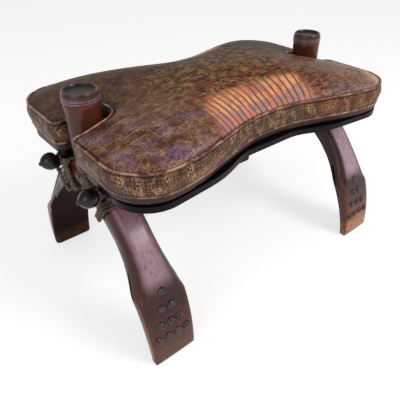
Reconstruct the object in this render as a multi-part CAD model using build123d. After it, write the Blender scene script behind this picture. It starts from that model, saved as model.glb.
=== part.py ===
from build123d import *
import os
from math import atan2, hypot, pi, radians, sqrt, tan

# Camel saddle stool: two bowed wooden arches, each topped by a turned post, joined by two long
# rails that are lashed on with cord, and a crowned leather seat on a board, notched at both ends
# so that it drops over the posts. X runs from post to post, Z is up, and the origin is on the
# floor under the middle of the stool. Lengths are in millimetres.

os.makedirs("parts", exist_ok=True)

# Whole stool
overall_length = 634.0
overall_height = 401.0
foot_spread = 407.0
rail_overhang = 63.5
running_gap = 0.3
cut_overrun = 20.0
edge_tolerance = 0.01
turn_step = 18.0
bend_share = 0.99

# Arch legs: each face is a bow through its foot and its head, the outer one the rounder
outer_bow_radius = 315.0
inner_bow_radius = 292.0
foot_thickness = 16.0
head_depth = 28.7
head_half_flat = 42.2
foot_width = 77.0
paddle_width = 83.0
paddle_height_share = 0.315
leg_waist_width = 52.0
leg_waist_height_share = 0.685
leg_head_width = 58.6
paddle_round = 300.0
leg_waist_round = 200.0
outer_edge_bevel = 3.6
inner_edge_bevel = 3.0

# Studs on each foot, in a triangle of rows that grow by one
stud_rows = 4
stud_diameter = 15.4
stud_rise = 4.6
stud_shoulder_rise = 3.0
stud_shoulder_share = 0.68
stud_sides = 8
stud_pitch = 17.8
stud_row_pitch = 25.4
stud_top_z = 124.0
stud_shank = 4.0
stud_shank_length = 10.0
shank_clearance = 0.15

# Dowels that pin the two halves of an arch
dowel_diameter = 10.0
dowel_length = 50.0
dowel_offset = 18.5
dowel_drop = 15.0
dowel_clearance = 0.1
bore_end_room = 1.0

# Turned posts
post_height = 131.0
post_diameter = 54.6
post_cap_diameter = 56.4
post_rim_diameter = 46.4
post_dish_diameter = 40.0
post_dish_floor_diameter = 34.0
post_dish_depth = 5.0
post_cap_height = 17.0
post_bevel_height = 7.5
post_tenon_diameter = 22.0
post_tenon_length = 24.0
tenon_clearance = 0.15

# Rails with acorn ends
rail_diameter = 21.0
rail_margin = 28.8
acorn_diameter = 30.0
acorn_length = 28.0
acorn_neck_diameter = 15.0
acorn_neck_length = 3.0
acorn_tip_diameter = 5.0
acorn_tip_length = 2.5
acorn_length_shares = (0.0, 0.42, 0.8)
acorn_width_shares = (0.84, 1.0, 0.68)

# Lashing cord, wound round the head of each leg on both sides of the rail
cord_diameter = 5.2
cord_pitch = 6.0
cord_bend = 8.0
cord_sides = 4
apex_turns = 2
foot_turns = 1
crossing_round = 20.0
cord_tail_share = 0.6
crossing_share = 0.37
cord_step = 1.0

# Seat board
board_thickness = 10.0
board_waist = 152.0
board_waist_x = 61.0
board_lobe = 180.6
board_lobe_x = 132.0
board_corner = 197.0
board_end_room = 35.0
board_mouth_room = 31.5
board_notch_room = 13.8
board_notch_end_room = 22.3
board_waist_round = 90.0
board_lobe_round = 200.0
board_corner_round = 58.0
board_mouth_round = 8.0
board_notch_round = 24.0

# Cushion, in half widths from the middle of the stool and rooms left round a post
pad_waist = 147.0
pad_waist_x = 44.0
pad_lobe = 190.5
pad_lobe_room = 113.3
pad_corner = 201.0
pad_end_room = 39.8
pad_waist_round = 240.0
pad_lobe_round = 340.0
pad_corner_round = 68.0
tuck_height = 15.9
boxing_height = 35.0
boxing_bulge = 3.0
crown_rise = 37.0
crown_power = 2.7
crown_plan_shares = (1.0, 0.93, 0.82, 0.64, 0.4)
low_seam_inset = 2.5
tuck_inset = 12.0
cover_thickness = 4.0
slot_room = 2.8
slot_end_room = 13.3
slot_round = 27.0
slot_mouth_round = 14.0
slot_edge_rise = 17.0
welt_diameter = 5.6
welt_gap = 0.15
welt_sides = 6


def bow_centre(foot, head, radius):
    """Centre, as y and z, of the bow of a radius that runs from a foot to a head point."""
    run_y = head[0] - foot[0]
    run_z = head[1] - foot[1]
    chord = hypot(run_y, run_z)
    depth = sqrt(radius**2 - (chord / 2) ** 2)
    middle_y = (foot[0] + head[0]) / 2
    middle_z = (foot[1] + head[1]) / 2
    return middle_y - depth * run_z / chord, middle_z + depth * run_y / chord


# Places that follow from the sizes above
post_x = overall_length / 2 - rail_overhang
post_seat_z = overall_height - post_height
paddle_z = post_seat_z * paddle_height_share
leg_waist_z = post_seat_z * leg_waist_height_share
foot_y = foot_spread / 2
inner_foot_y = foot_y - foot_thickness
outer_centre_y, outer_centre_z = bow_centre(
    (foot_y, 0), (head_half_flat, post_seat_z), outer_bow_radius
)
inner_centre_y, inner_centre_z = bow_centre(
    (inner_foot_y, 0), (0, post_seat_z - head_depth), inner_bow_radius
)
dowel_z = post_seat_z - dowel_drop
rail_radius = rail_diameter / 2
cord_radius = cord_diameter / 2
rail_y = head_half_flat + rail_margin
rail_lift = rail_radius + running_gap
rail_angle_y = (rail_y - outer_centre_y) / (outer_bow_radius + rail_lift)
rail_angle_z = sqrt(1 - rail_angle_y**2)
rail_z = outer_centre_z + (outer_bow_radius + rail_lift) * rail_angle_z
cap_radius = post_cap_diameter / 2
board_notch_half = cap_radius + board_notch_room
board_notch_end_x = post_x - cap_radius - board_notch_end_room
pad_end = post_x + pad_end_room
pad_lobe_x = pad_end - pad_lobe_room
slot_half = cap_radius + slot_room
slot_end_x = post_x - cap_radius - slot_end_room
leg_places = {
    "front_left": Pos(-post_x, 0, 0) * Rot(0, 0, 180),
    "front_right": Pos(post_x, 0, 0) * Rot(0, 0, 180),
    "back_left": Pos(-post_x, 0, 0),
    "back_right": Pos(post_x, 0, 0),
}


def outer_y(z):
    """Distance from the middle plane to the outer face of a leg at a height."""
    return outer_centre_y + sqrt(outer_bow_radius**2 - (z - outer_centre_z) ** 2)


def inner_z(y):
    """Height of the inner face of a leg at a distance from the middle plane."""
    return inner_centre_z + sqrt(inner_bow_radius**2 - (y - inner_centre_y) ** 2)


def head_half_width(z):
    """Half the width of a leg above its waist."""
    share = (z - leg_waist_z) / (post_seat_z - leg_waist_z)
    return (leg_waist_width + share * (leg_head_width - leg_waist_width)) / 2


def long_edges(leg, centre_y, centre_z, radius):
    """The edges of a leg that run along one of its two bows."""
    found = []
    for edge in leg.edges():
        ends = (edge @ 0, edge @ 0.5, edge @ 1)
        off = [abs(hypot(p.Y - centre_y, p.Z - centre_z) - radius) for p in ends]
        if max(off) < edge_tolerance and abs(ends[0].Z - ends[2].Z) > edge_tolerance:
            found.append(edge)
    return found


def stud_seats():
    """Where each stud sits on the outer face of a leg, with Z along the stud."""
    seats = []
    for row in range(stud_rows):
        z = stud_top_z - row * stud_row_pitch
        y = outer_y(z)
        tilt = atan2(z - outer_centre_z, y - outer_centre_y)
        for place in range(row + 1):
            x = (place - row / 2) * stud_pitch
            seats.append(Pos(x, y, z) * Rot(tilt * 180 / pi - 90, 0, 0))
    return seats


def make_leg():
    """One leg of an arch, with its foot towards +Y and the post axis at x = 0."""
    middle_z = post_seat_z / 2
    apex_z = inner_z(0)
    inner_middle_y = inner_foot_y / 2
    side = make_face(
        [
            Line((inner_foot_y, 0), (foot_y, 0)),
            ThreePointArc(
                (foot_y, 0), (outer_y(middle_z), middle_z), (head_half_flat, post_seat_z)
            ),
            Line((head_half_flat, post_seat_z), (0, post_seat_z)),
            Line((0, post_seat_z), (0, apex_z)),
            ThreePointArc((0, apex_z), (inner_middle_y, inner_z(inner_middle_y)), (inner_foot_y, 0)),
        ]
    )
    half = [
        (foot_width / 2, 0),
        (paddle_width / 2, paddle_z),
        (leg_waist_width / 2, leg_waist_z),
        (leg_head_width / 2, post_seat_z),
    ]
    bends = [0, paddle_round, leg_waist_round, 0]
    front = make_face(
        FilletPolyline(
            *half, *[(-x, z) for x, z in reversed(half)], radius=bends + bends[::-1], close=True
        )
    )
    leg = extrude(Plane.YZ * side, amount=paddle_width, both=True)
    leg &= extrude(Plane.XZ * front, amount=foot_spread, both=True)
    outer = long_edges(leg, outer_centre_y, outer_centre_z, outer_bow_radius)
    leg = chamfer(outer, outer_edge_bevel)
    inner = long_edges(leg, inner_centre_y, inner_centre_z, inner_bow_radius)
    leg = chamfer(inner, inner_edge_bevel)
    tenon_depth = post_tenon_length + bore_end_room
    leg -= Pos(0, 0, post_seat_z - tenon_depth / 2) * Cylinder(
        post_tenon_diameter / 2 + tenon_clearance, tenon_depth
    )
    for side_sign in (-1, 1):
        leg -= Pos(side_sign * dowel_offset, 0, dowel_z) * Rot(90, 0, 0) * Cylinder(
            dowel_diameter / 2 + dowel_clearance, dowel_length + 2 * bore_end_room
        )
    hole_width = stud_shank + 2 * shank_clearance
    hole = Box(hole_width, hole_width, 2 * (stud_shank_length + bore_end_room))
    for seat in stud_seats():
        leg -= seat * hole
    return leg


def make_stud():
    """A domed stud of flat facets on a square shank, with its seat at z = 0."""
    radius = stud_diameter / 2
    shoulder = radius * stud_shoulder_share
    top_rise = stud_rise - stud_shoulder_rise
    side_slope = atan2(radius - shoulder, stud_shoulder_rise) * 180 / pi
    top_slope = atan2(shoulder / 2, top_rise) * 180 / pi
    dome = extrude(RegularPolygon(radius, stud_sides), amount=stud_shoulder_rise, taper=side_slope)
    top = Pos(0, 0, stud_shoulder_rise) * RegularPolygon(shoulder, stud_sides)
    dome += extrude(top, amount=top_rise, taper=top_slope)
    return dome + Pos(0, 0, -stud_shank_length / 2) * Box(stud_shank, stud_shank, stud_shank_length)


def make_post():
    """A turned post with a bevelled, dished cap and a round tenon."""
    post_r = post_diameter / 2
    tenon_r = post_tenon_diameter / 2
    bevel_z = overall_height - post_bevel_height
    cap_z = overall_height - post_cap_height
    dish_z = overall_height - post_dish_depth
    outline = [
        (0, post_seat_z - post_tenon_length),
        (tenon_r, post_seat_z - post_tenon_length),
        (tenon_r, post_seat_z),
        (post_r, post_seat_z),
        (post_r, cap_z),
        (cap_radius, cap_z),
        (cap_radius, bevel_z),
        (post_rim_diameter / 2, overall_height),
        (post_dish_diameter / 2, overall_height),
        (post_dish_floor_diameter / 2, dish_z),
        (0, dish_z),
    ]
    return revolve(Plane.XZ * make_face(Polyline(*outline, close=True)), axis=Axis.Z)


def make_rail():
    """A turned rail along X with an acorn, a neck and a small nipple at each end."""
    tip_x = overall_length / 2
    base_x = tip_x - acorn_tip_length - acorn_length
    neck_x = base_x - acorn_neck_length
    neck_r = acorn_neck_diameter / 2
    tip_r = acorn_tip_diameter / 2
    outline = [(0, 0), (0, rail_radius), (neck_x, rail_radius), (neck_x, neck_r), (base_x, neck_r)]
    for length_share, width_share in zip(acorn_length_shares, acorn_width_shares):
        outline.append((base_x + acorn_length * length_share, acorn_diameter / 2 * width_share))
    outline += [(tip_x - acorn_tip_length, tip_r), (tip_x, tip_r), (tip_x, 0)]
    half = revolve(Plane.XZ * make_face(Polyline(*outline, close=True)), axis=Axis.X)
    return half + mirror(half, about=Plane.YZ)


def lashing_point(x, along, out):
    """A place near the rail's seat on a leg: along runs towards the foot, out leaves the leg."""
    seat_y = outer_centre_y + outer_bow_radius * rail_angle_y
    seat_z = outer_centre_z + outer_bow_radius * rail_angle_z
    return (
        x,
        seat_y + along * rail_angle_z + out * rail_angle_y,
        seat_z - along * rail_angle_y + out * rail_angle_z,
    )


def cord_outside(along):
    """How far out the cord lies on the outer face of the leg."""
    return sqrt(outer_bow_radius**2 - along**2) - outer_bow_radius + running_gap + cord_radius


def cord_inside(along):
    """How far out the cord lies on the inner face of the leg, a negative number."""
    shift_y = inner_centre_y - outer_centre_y
    shift_z = inner_centre_z - outer_centre_z
    centre_along = shift_y * rail_angle_z - shift_z * rail_angle_y
    centre_out = shift_y * rail_angle_y + shift_z * rail_angle_z - outer_bow_radius
    face = centre_out + sqrt(inner_bow_radius**2 - (along - centre_along) ** 2)
    return face - running_gap - cord_radius


def cord_side(along, out):
    """How far the cord lies from the middle of the leg at its side."""
    z = lashing_point(0, along, out)[2]
    return head_half_width(z) + running_gap + cord_radius


def lashing_path():
    """The cord's way: turns beside the rail, one crossing over it, and turns on its other side."""
    beside = rail_lift + cord_radius
    over = rail_lift + rail_radius + running_gap + cord_radius
    starts = [-beside - cord_pitch * (apex_turns - turn) for turn in range(apex_turns)]
    starts.append(-beside)
    ends = starts[:-1] + [beside]
    for turn in range(foot_turns):
        starts.append(beside + cord_pitch * (turn + 1))
        ends.append(starts[-1])
    side = cord_side(starts[0], 0)
    points = [lashing_point(-side, starts[0], cord_inside(starts[0]) * cord_tail_share)]
    for turn, (start, end) in enumerate(zip(starts, ends)):
        if turn > 0:
            start_in = cord_inside(start)
            points.append(lashing_point(-cord_side(start, start_in), start, start_in))
        points.append(lashing_point(-cord_side(start, 0), start, cord_outside(start)))
        if turn == apex_turns:
            reach = cord_side(start, 0) * crossing_share
            points.append(lashing_point(-reach, start, over))
            points.append(lashing_point(reach, end, over))
        points.append(lashing_point(cord_side(end, 0), end, cord_outside(end)))
        if turn < len(starts) - 1:
            end_in = cord_inside(end)
            points.append(lashing_point(cord_side(end, end_in), end, end_in))
    side = cord_side(ends[-1], 0)
    points.append(lashing_point(side, ends[-1], cord_inside(ends[-1]) * cord_tail_share))
    bends = [cord_bend] * (len(points) - 2)
    first_over = 4 * apex_turns + 1
    bends[first_over : first_over + 2] = [crossing_round, crossing_round]
    return FilletPolyline(*points, radius=bends)


def least_self_gap(samples):
    """The narrowest gap between stretches of cord that are not neighbours along it."""
    apart = int(pi * cord_diameter / cord_step)
    least = cord_step * len(samples)
    for first, here in enumerate(samples):
        for there in samples[first + apart :]:
            least = min(least, (here - there).length)
    return least - cord_diameter


def ring(quarter):
    """Closed outline through a quarter's corners, each given as x, y and bend, and its mirrors."""
    first = list(quarter)
    below = [(x, -y, bend) for x, y, bend in reversed(quarter) if y > 0]
    right = first + below
    left = [(-x, y, bend) for x, y, bend in reversed(right)]
    return right + left


def rounded(corners):
    """A flat closed line at z = 0 through corners, each rounded as far as its two sides allow."""
    points = [Vector(x, y, 0) for x, y, bend in corners]
    sides = [point - points[place - 1] for place, point in enumerate(points)]
    leaving = sides[1:] + sides[:1]
    turns = [before.get_angle(after) for before, after in zip(sides, leaving)]
    reaches = [bend * tan(radians(turn / 2)) for (x, y, bend), turn in zip(corners, turns)]
    needs = [(reaches[place - 1] + reach) / bend_share for place, reach in enumerate(reaches)]
    fits = [1 if need <= side.length else side.length / need for side, need in zip(sides, needs)]
    bends = [
        bend * min(before, after)
        for (x, y, bend), before, after in zip(corners, fits, fits[1:] + fits[:1])
    ]
    return FilletPolyline(*points, radius=bends, close=True)


def sampled(line):
    """Points along lines and arcs in order, one for each line and a few for each arc."""
    edges = sorted(line.edges(), key=lambda edge: line.param_at_point(edge @ 0.5))
    points = []
    passed = 0
    for edge in edges:
        pieces = 1
        if edge.geom_type == GeomType.CIRCLE:
            turn = edge.length / edge.radius * 180 / pi
            pieces = max(2, round(turn / turn_step))
        for piece in range(pieces):
            points.append(line @ ((passed + edge.length * piece / pieces) / line.length))
        passed += edge.length
    return points


def drawn_in(points, inset):
    """Corners of a closed clockwise outline of straight sides, each side moved inwards."""
    moved = []
    for place, point in enumerate(points):
        before = (point - points[place - 1]).normalized()
        after = (points[(place + 1) % len(points)] - point).normalized()
        inwards = Vector(before.Y + after.Y, -before.X - after.X, 0)
        moved.append(point + inwards * (inset / (1 + before.dot(after))))
    return moved


def pad_level(inset, z, plan_share=1):
    """The corners of one level of the cushion, without its slots."""
    return [Vector(p.X * plan_share, p.Y * plan_share, z) for p in drawn_in(pad_plan, inset)]


def pad_body(skin):
    """The crowned cushion without slots, drawn in by the thickness of a skin, of flat faces."""
    levels = [
        pad_level(skin + tuck_inset, board_top_z),
        pad_level(skin + low_seam_inset, low_seam_z),
        pad_level(skin - boxing_bulge, (low_seam_z + top_seam_z) / 2),
    ]
    for share in crown_plan_shares:
        rise = crown_rise * (1 - share**crown_power)
        levels.append(pad_level(skin, top_seam_z - skin + rise, share))
    outlines = [levels[0], levels[-1]]
    for low, high in zip(levels, levels[1:]):
        outlines += [[low[i - 1], low[i], high[i], high[i - 1]] for i in range(len(low))]
    return Solid(Shell([Face(Wire.make_polygon(outline)) for outline in outlines]))


def pad_slots(skin):
    """The tools that cut the two post slots, widened by the thickness of a skin."""
    wide_y = slot_half + slot_mouth_round + cut_overrun
    far_x = pad_end + cut_overrun
    corners = [
        (slot_end_x - skin, slot_half + skin, slot_round + skin),
        (pad_end - skin, slot_half + skin, slot_mouth_round - skin),
        (pad_end - skin + boxing_bulge, wide_y, 0),
        (far_x, wide_y, 0),
    ]
    corners += [(x, -y, bend) for x, y, bend in reversed(corners)]
    plan = Pos(0, 0, board_z) * make_face(Polyline(*sampled(rounded(corners)), close=True))
    tool = extrude(plan, amount=top_seam_z + crown_rise + cut_overrun - board_z)
    return tool + mirror(tool, about=Plane.YZ)


def slot_run(inset, mouth_z, end_z):
    """Points of a seam from the right end's upper half into the slot and out below it."""
    mouth_x = pad_end - inset
    mouth_round = slot_mouth_round - inset
    reach = slot_half + 2 * slot_mouth_round
    upper = [
        (mouth_x, reach, mouth_z),
        (mouth_x, slot_half, mouth_z),
        (slot_end_x, slot_half, end_z),
    ]
    lower = [(x, -y, z) for x, y, z in reversed(upper)]
    bends = [mouth_round, slot_round, slot_round, mouth_round]
    return sampled(FilletPolyline(*upper, *lower, radius=bends))[1:]


def welt_line(inset, mouth_z, end_z):
    """Closed line of a welt round the cushion and into its slots, of short straight runs."""
    edge = pad_level(inset, mouth_z)
    points = []
    for place, point in enumerate(edge):
        before = edge[place - 1]
        if before.Y * point.Y < 0 and before.X * point.X > 0:
            side = 1 if point.X > 0 else -1
            run = slot_run(inset, mouth_z, end_z)
            points += [Vector(side * p.X, side * p.Y, p.Z) for p in run]
        points.append(point)
    return Polyline(*points, close=True)


def make_welt(line, radius):
    """A tube of flat sides with mitred bends along a line."""
    start = Plane(origin=line @ 0, z_dir=line % 0)
    return sweep(start * RegularPolygon(radius, welt_sides), path=line, transition=Transition.RIGHT)


def make_board():
    """The seat board with a notch at each end for a post."""
    quarter = [
        (board_waist_x, board_waist, board_waist_round),
        (board_lobe_x, board_lobe, board_lobe_round),
        (post_x + board_end_room, board_corner, board_corner_round),
        (post_x + board_mouth_room, board_notch_half, board_mouth_round),
        (board_notch_end_x, board_notch_half, board_notch_round),
    ]
    return extrude(Pos(0, 0, board_z) * make_face(rounded(ring(quarter))), amount=board_thickness)


# Frame
cord_line = lashing_path()
cord_samples = [
    cord_line @ (step * cord_step / cord_line.length)
    for step in range(int(cord_line.length / cord_step))
]
print("lashing: length", round(cord_line.length, 1), "mm, least gap to itself",
      round(least_self_gap(cord_samples), 2), "mm")
board_z = max(point.Z for point in cord_samples) + cord_radius + running_gap
board_top_z = board_z + board_thickness
low_seam_z = board_top_z + tuck_height
top_seam_z = low_seam_z + boxing_height

leg = make_leg()
stud = make_stud()
studs = [seat * stud for seat in stud_seats()]
for name, place in leg_places.items():
    export_step(place * leg, f"parts/leg_{name}.step")
    export_step(Compound([place * one for one in studs]), f"parts/studs_{name}.step")

cord_start = Plane(origin=cord_line @ 0, z_dir=cord_line % 0)
lashing = sweep(cord_start * RegularPolygon(cord_radius, cord_sides), path=cord_line)
export_step(Compound([place * lashing for place in leg_places.values()]), "parts/lashings.step")

post = make_post()
dowel = Rot(90, 0, 0) * Cylinder(dowel_diameter / 2, dowel_length)
export_step(Pos(-post_x, 0, 0) * post, "parts/post_left.step")
export_step(Pos(post_x, 0, 0) * post, "parts/post_right.step")
dowel_xs = [side * post_x + shift for side in (-1, 1) for shift in (-dowel_offset, dowel_offset)]
export_step(Compound([Pos(x, 0, dowel_z) * dowel for x in dowel_xs]), "parts/arch_dowels.step")

rail = make_rail()
export_step(Pos(0, -rail_y, rail_z) * rail, "parts/rail_front.step")
export_step(Pos(0, rail_y, rail_z) * rail, "parts/rail_back.step")

# Seat, resting on the cords where they cross the rails
export_step(make_board(), "parts/seat_board.step")
pad_plan = sampled(
    rounded(
        ring(
            [
                (pad_waist_x, pad_waist, pad_waist_round),
                (pad_lobe_x, pad_lobe, pad_lobe_round),
                (pad_end, pad_corner, pad_corner_round),
            ]
        )
    )
)
foam = pad_body(cover_thickness) - pad_slots(cover_thickness)
cover = pad_body(0) - pad_slots(0) - foam
welt_lines = {
    "top_welt": welt_line(0, top_seam_z, top_seam_z + slot_edge_rise),
    "low_welt": welt_line(low_seam_inset, low_seam_z, low_seam_z),
}
for name, line in welt_lines.items():
    cover -= make_welt(line, welt_diameter / 2 + welt_gap)
    export_step(make_welt(line, welt_diameter / 2), f"parts/{name}.step")
export_step(foam, "parts/foam_pad.step")
export_step(cover, "parts/leather_cover.step")
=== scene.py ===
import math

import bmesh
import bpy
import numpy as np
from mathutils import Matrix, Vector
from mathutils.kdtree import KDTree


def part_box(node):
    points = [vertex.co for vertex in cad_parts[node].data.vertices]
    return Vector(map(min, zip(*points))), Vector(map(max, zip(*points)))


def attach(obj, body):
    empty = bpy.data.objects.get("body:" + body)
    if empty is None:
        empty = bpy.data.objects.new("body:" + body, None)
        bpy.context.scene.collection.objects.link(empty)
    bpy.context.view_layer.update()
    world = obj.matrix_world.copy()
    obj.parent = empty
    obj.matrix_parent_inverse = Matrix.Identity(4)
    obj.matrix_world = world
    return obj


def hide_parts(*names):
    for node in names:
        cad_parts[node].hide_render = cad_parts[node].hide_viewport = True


bl_info = {
    "name": "Camel saddle stool",
    "version": (1, 0, 0),
    "blender": (4, 5, 0),
    "location": "View3D > Sidebar > Saddle stool",
    "description": "Dresses the stool: carved arches, turned posts and rails, cord lashings and "
                   "a scaled leather seat",
    "category": "Object",
}

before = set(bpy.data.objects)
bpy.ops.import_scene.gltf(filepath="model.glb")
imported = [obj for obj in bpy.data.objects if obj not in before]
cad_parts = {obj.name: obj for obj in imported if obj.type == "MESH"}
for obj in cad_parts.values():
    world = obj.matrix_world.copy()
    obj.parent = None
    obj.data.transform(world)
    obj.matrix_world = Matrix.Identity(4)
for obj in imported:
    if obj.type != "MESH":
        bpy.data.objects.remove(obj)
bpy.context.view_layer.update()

# Where the CAD pieces are. All lengths are in metres.
SIDES = (("front_left", -1, -1), ("front_right", 1, -1), ("back_left", -1, 1), ("back_right", 1, 1))
POST_X = (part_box("post_right")[0].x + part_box("post_right")[1].x) / 2
POST_SEAT_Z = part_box("leg_back_left")[1].z
POST_FOOT_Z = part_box("post_left")[0].z
POST_TOP_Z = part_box("post_left")[1].z
FOOT_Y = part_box("leg_back_left")[1].y
RAIL_Y = (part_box("rail_back")[0].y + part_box("rail_back")[1].y) / 2
RAIL_Z = (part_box("rail_back")[0].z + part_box("rail_back")[1].z) / 2
RAIL_END_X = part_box("rail_back")[1].x
BOARD_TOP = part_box("seat_board")[1].z

# The two bows of a leg, each a radius and the height of its centre
OUTER_BOW = (0.315, -0.005)
INNER_BOW = (0.292, -0.032)
OUTER_BOW_Y = FOOT_Y - math.sqrt(OUTER_BOW[0] ** 2 - OUTER_BOW[1] ** 2)
FOOT_THICKNESS = 0.016

# Half width of a leg at each height, with a shoulder over the studded foot
LEG_HEIGHTS = (0.0, 0.030, 0.060, 0.090, 0.112, 0.122, 0.129, 0.145, 0.165, 0.190, 0.215, 0.245,
               0.275, 0.300)
LEG_HALF_WIDTHS = (0.0386, 0.0396, 0.0404, 0.0408, 0.0408, 0.0402, 0.0386, 0.0342, 0.0301, 0.0276,
                   0.0276, 0.0284, 0.0293, 0.0300)
LEG_RINGS = 92
FOOT_CHAMFER = 0.0014
HEWN_SWELL = 0.0006

# Share of painted sheen on each leg (a grey violet reflection painted on its broad face), and of
# bare wood, darkening and warm stain on its foot
LEG_WEAR = {
    "front_left": {"painted_wax_sheen": 0.78, "bare": 0.16, "dark_stain_and_shade": 0.7, "warm": 0.12},
    "front_right": {"painted_wax_sheen": 1.25, "bare": 1.3, "dark_stain_and_shade": 0.0, "warm": 0.8},
    "back_left": {"painted_wax_sheen": 0.9, "bare": 0.5, "dark_stain_and_shade": 0.0, "warm": 0.3},
    "back_right": {"painted_wax_sheen": 0.9, "bare": 0.45, "dark_stain_and_shade": 0.0, "warm": 0.3},
}

# Studs: dome outline as radius and height, and the triangle that they stand in
STUD_RADIUS = 0.0077
STUD_OUTLINE = ((0.0001, -0.002), (STUD_RADIUS * 0.97, -0.002), (STUD_RADIUS, 0.0004),
                (STUD_RADIUS * 0.96, 0.0014), (STUD_RADIUS * 0.84, 0.0028),
                (STUD_RADIUS * 0.62, 0.0039), (STUD_RADIUS * 0.36, 0.0046), (0.0001, 0.0048))
STUD_ROWS = 4
STUD_TOP_Z = 0.124
STUD_ROW_PITCH = 0.0254
STUD_PITCH = 0.0178
HAMMER_BLOWS = 5

# Turned outlines: the post's cap as radius and depth under the top, and the rail's acorn as
# radius and distance from the tip
POST_RADIUS = 0.0268
TENON_RADIUS = 0.011
POST_CAP = ((0.0272, 0.024), (0.0277, 0.0186), (0.0272, 0.0178), (0.0272, 0.0170),
            (0.0281, 0.0163), (0.0282, 0.0146), (0.0275, 0.0139), (0.0275, 0.0132),
            (0.0282, 0.0126), (0.0281, 0.0108), (0.0275, 0.0102), (0.0275, 0.0096),
            (0.0280, 0.0090), (0.0278, 0.0072), (0.0272, 0.0046), (0.0262, 0.0020),
            (0.0254, 0.0006), (0.0244, 0.0), (0.0237, 0.0004), (0.0232, 0.0014),
            (0.0226, 0.0032), (0.0206, 0.0040), (0.0120, 0.0043), (0.0001, 0.0042))
POST_STEPS = 72
RAIL_RADIUS = 0.0105
RAIL_ACORN = ((RAIL_RADIUS, 0.037), (0.0102, 0.0345), (0.0082, 0.0332), (0.0074, 0.0318),
              (0.0084, 0.0304), (0.0112, 0.0288), (0.0134, 0.0262), (0.0146, 0.0228),
              (0.0150, 0.0190), (0.0144, 0.0150), (0.0130, 0.0115), (0.0106, 0.0080),
              (0.0074, 0.0050), (0.0046, 0.0034), (0.0034, 0.0024), (0.0031, 0.0012),
              (0.0018, 0.0002), (0.0001, 0.0))
RAIL_STEPS = 40

# Lashings: turns of cord on both sides of the rail, and the rooms round rail and leg
POST_SIDE_TURNS = 4
FOOT_SIDE_TURNS = 2
LASHED_RAIL_RADIUS = 0.0108
LASHED_HALF_WIDTH = 0.0287
CORD_ROOM = 0.0003
CORD_PITCH_ROOM = 0.0005
CORD_STEP = 0.0016
PLIES = 2
PLY_SIDES = 7

# Plan of the cushion: x, y and bend of a quarter's corners, and its slots round the posts
PAD_PLAN = ((0.044, 0.147, 0.240), (0.180, 0.1905, 0.340), (0.2933, 0.201, 0.068))
SLOT_HALF = 0.031
SLOT_END_X = 0.212
SLOT_MOUTH_X = 0.287
SLOT_ROUND = 0.027
MOUTH_ROUND = 0.014
SLOT_EDGE_RISE = 0.017
LOW_SEAM_Z = BOARD_TOP + 0.0159
TOP_SEAM_Z = LOW_SEAM_Z + 0.035
MIDDLE_SEAM_Z = (LOW_SEAM_Z + TOP_SEAM_Z) / 2
OUTLINE_SPACING = 0.0015

# Embossed pattern of the leather
RIB_PITCH = 0.0118
RIB_HEIGHT = 0.0009
RIB_CELL = 0.013
CRACK_PITCH = 0.0190
ROW_PITCHES = (0.0046, 0.0050)
SCALES_PER_METRE = 250.0
MIDDLE_CELL = (0.0130, 0.0062)

# Red stitches along the boxing of the near lobe
STITCHED_X = (-0.242, -0.118)
STITCH_PITCH = 0.0152
STITCH_LENGTH = 0.0098
STITCH_RADIUS = 0.00095
STITCH_RINGS = 9
STITCH_SIDES = 8

# The room: how strongly it lights the stool, how bright it is seen at the horizon and overhead,
# and between which heights the one fades into the other
ROOM_COLOUR = (1.0, 0.98, 0.97)
ROOM_LIGHT = 0.44
ROOM_SEEN = (0.92, 0.35)
ROOM_FADE = (0.10, 0.46)
FLOOR_GLOW = 0.62
FLOOR_HALF = 8.0
FLOOR_Z = -0.0005

# Lamps: place, width and colour
KEY_LAMP = ((0.7, -1.6, 1.7), 0.8, (1.0, 0.97, 0.93))
FILL_LAMP = ((-1.6, -0.7, 1.2), 1.2, (0.86, 0.90, 1.0))
LAMP_AIM = (0, 0, 0.25)

# The camera fitted to the photograph: turn, rise and roll in degrees, the place that it looks
# at and its distance from there
CAMERA_ANGLES = (-40.91, 34.70, 0.52)
CAMERA_AIM = (-0.1481, -0.19321, 0.270)
CAMERA_DISTANCE = 0.62113
CAMERA_LENS = 38.11
CAMERA_SHIFT = (-0.0528, -0.0131)


def linear(red, green, blue):
    """A display colour from 0 to 255 as the linear colour that the shader takes."""
    shares = (c / 255 for c in (red, green, blue))
    return tuple(s / 12.92 if s <= 0.04045 else ((s + 0.055) / 1.055) ** 2.4 for s in shares)


def shaded(colour, share):
    """A colour made darker or lighter."""
    return tuple(c * share for c in colour)


def eased(low, high, value):
    """Goes smoothly from 0 at low to 1 at high."""
    share = np.clip((value - low) / (high - low), 0, 1)
    return share * share * (3 - 2 * share)


class SeatSettings(bpy.types.PropertyGroup):
    """Sizes and colours of the upholstered seat."""

    crown_rise: bpy.props.FloatProperty(
        name="Crown rise", description="How far the middle of the seat stands over its top seam",
        default=0.037, min=0.01, max=0.06, unit="LENGTH")
    boxing_bulge: bpy.props.FloatProperty(
        name="Boxing bulge", description="How far the side band of the seat swells",
        default=0.003, min=0.0, max=0.01, unit="LENGTH")
    puff_limit: bpy.props.FloatProperty(
        name="Puff limit", description="The furthest that the filling may push the leather out",
        default=0.005, min=0.0, max=0.02, unit="LENGTH")
    piping_radius: bpy.props.FloatProperty(
        name="Piping radius", description="Radius of the leather piping on both seams",
        default=0.0019, min=0.001, max=0.006, unit="LENGTH")
    hide_colour: bpy.props.FloatVectorProperty(
        name="Hide", description="Dark brown of the leather between the scales",
        subtype="COLOR", size=3, min=0, max=1, default=linear(44, 24, 16))
    gilt_colour: bpy.props.FloatVectorProperty(
        name="Gilt", description="Gold in the cracks of the lobes",
        subtype="COLOR", size=3, min=0, max=1, default=linear(206, 152, 84))
    # Violet on the front of the lobes: violet patches, partly a painted sheen
    violet_colour: bpy.props.FloatVectorProperty(
        name="Violet", description="Violet bloom on the lobes of the seat",
        subtype="COLOR", size=3, min=0, max=1, default=linear(138, 108, 132))


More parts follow.
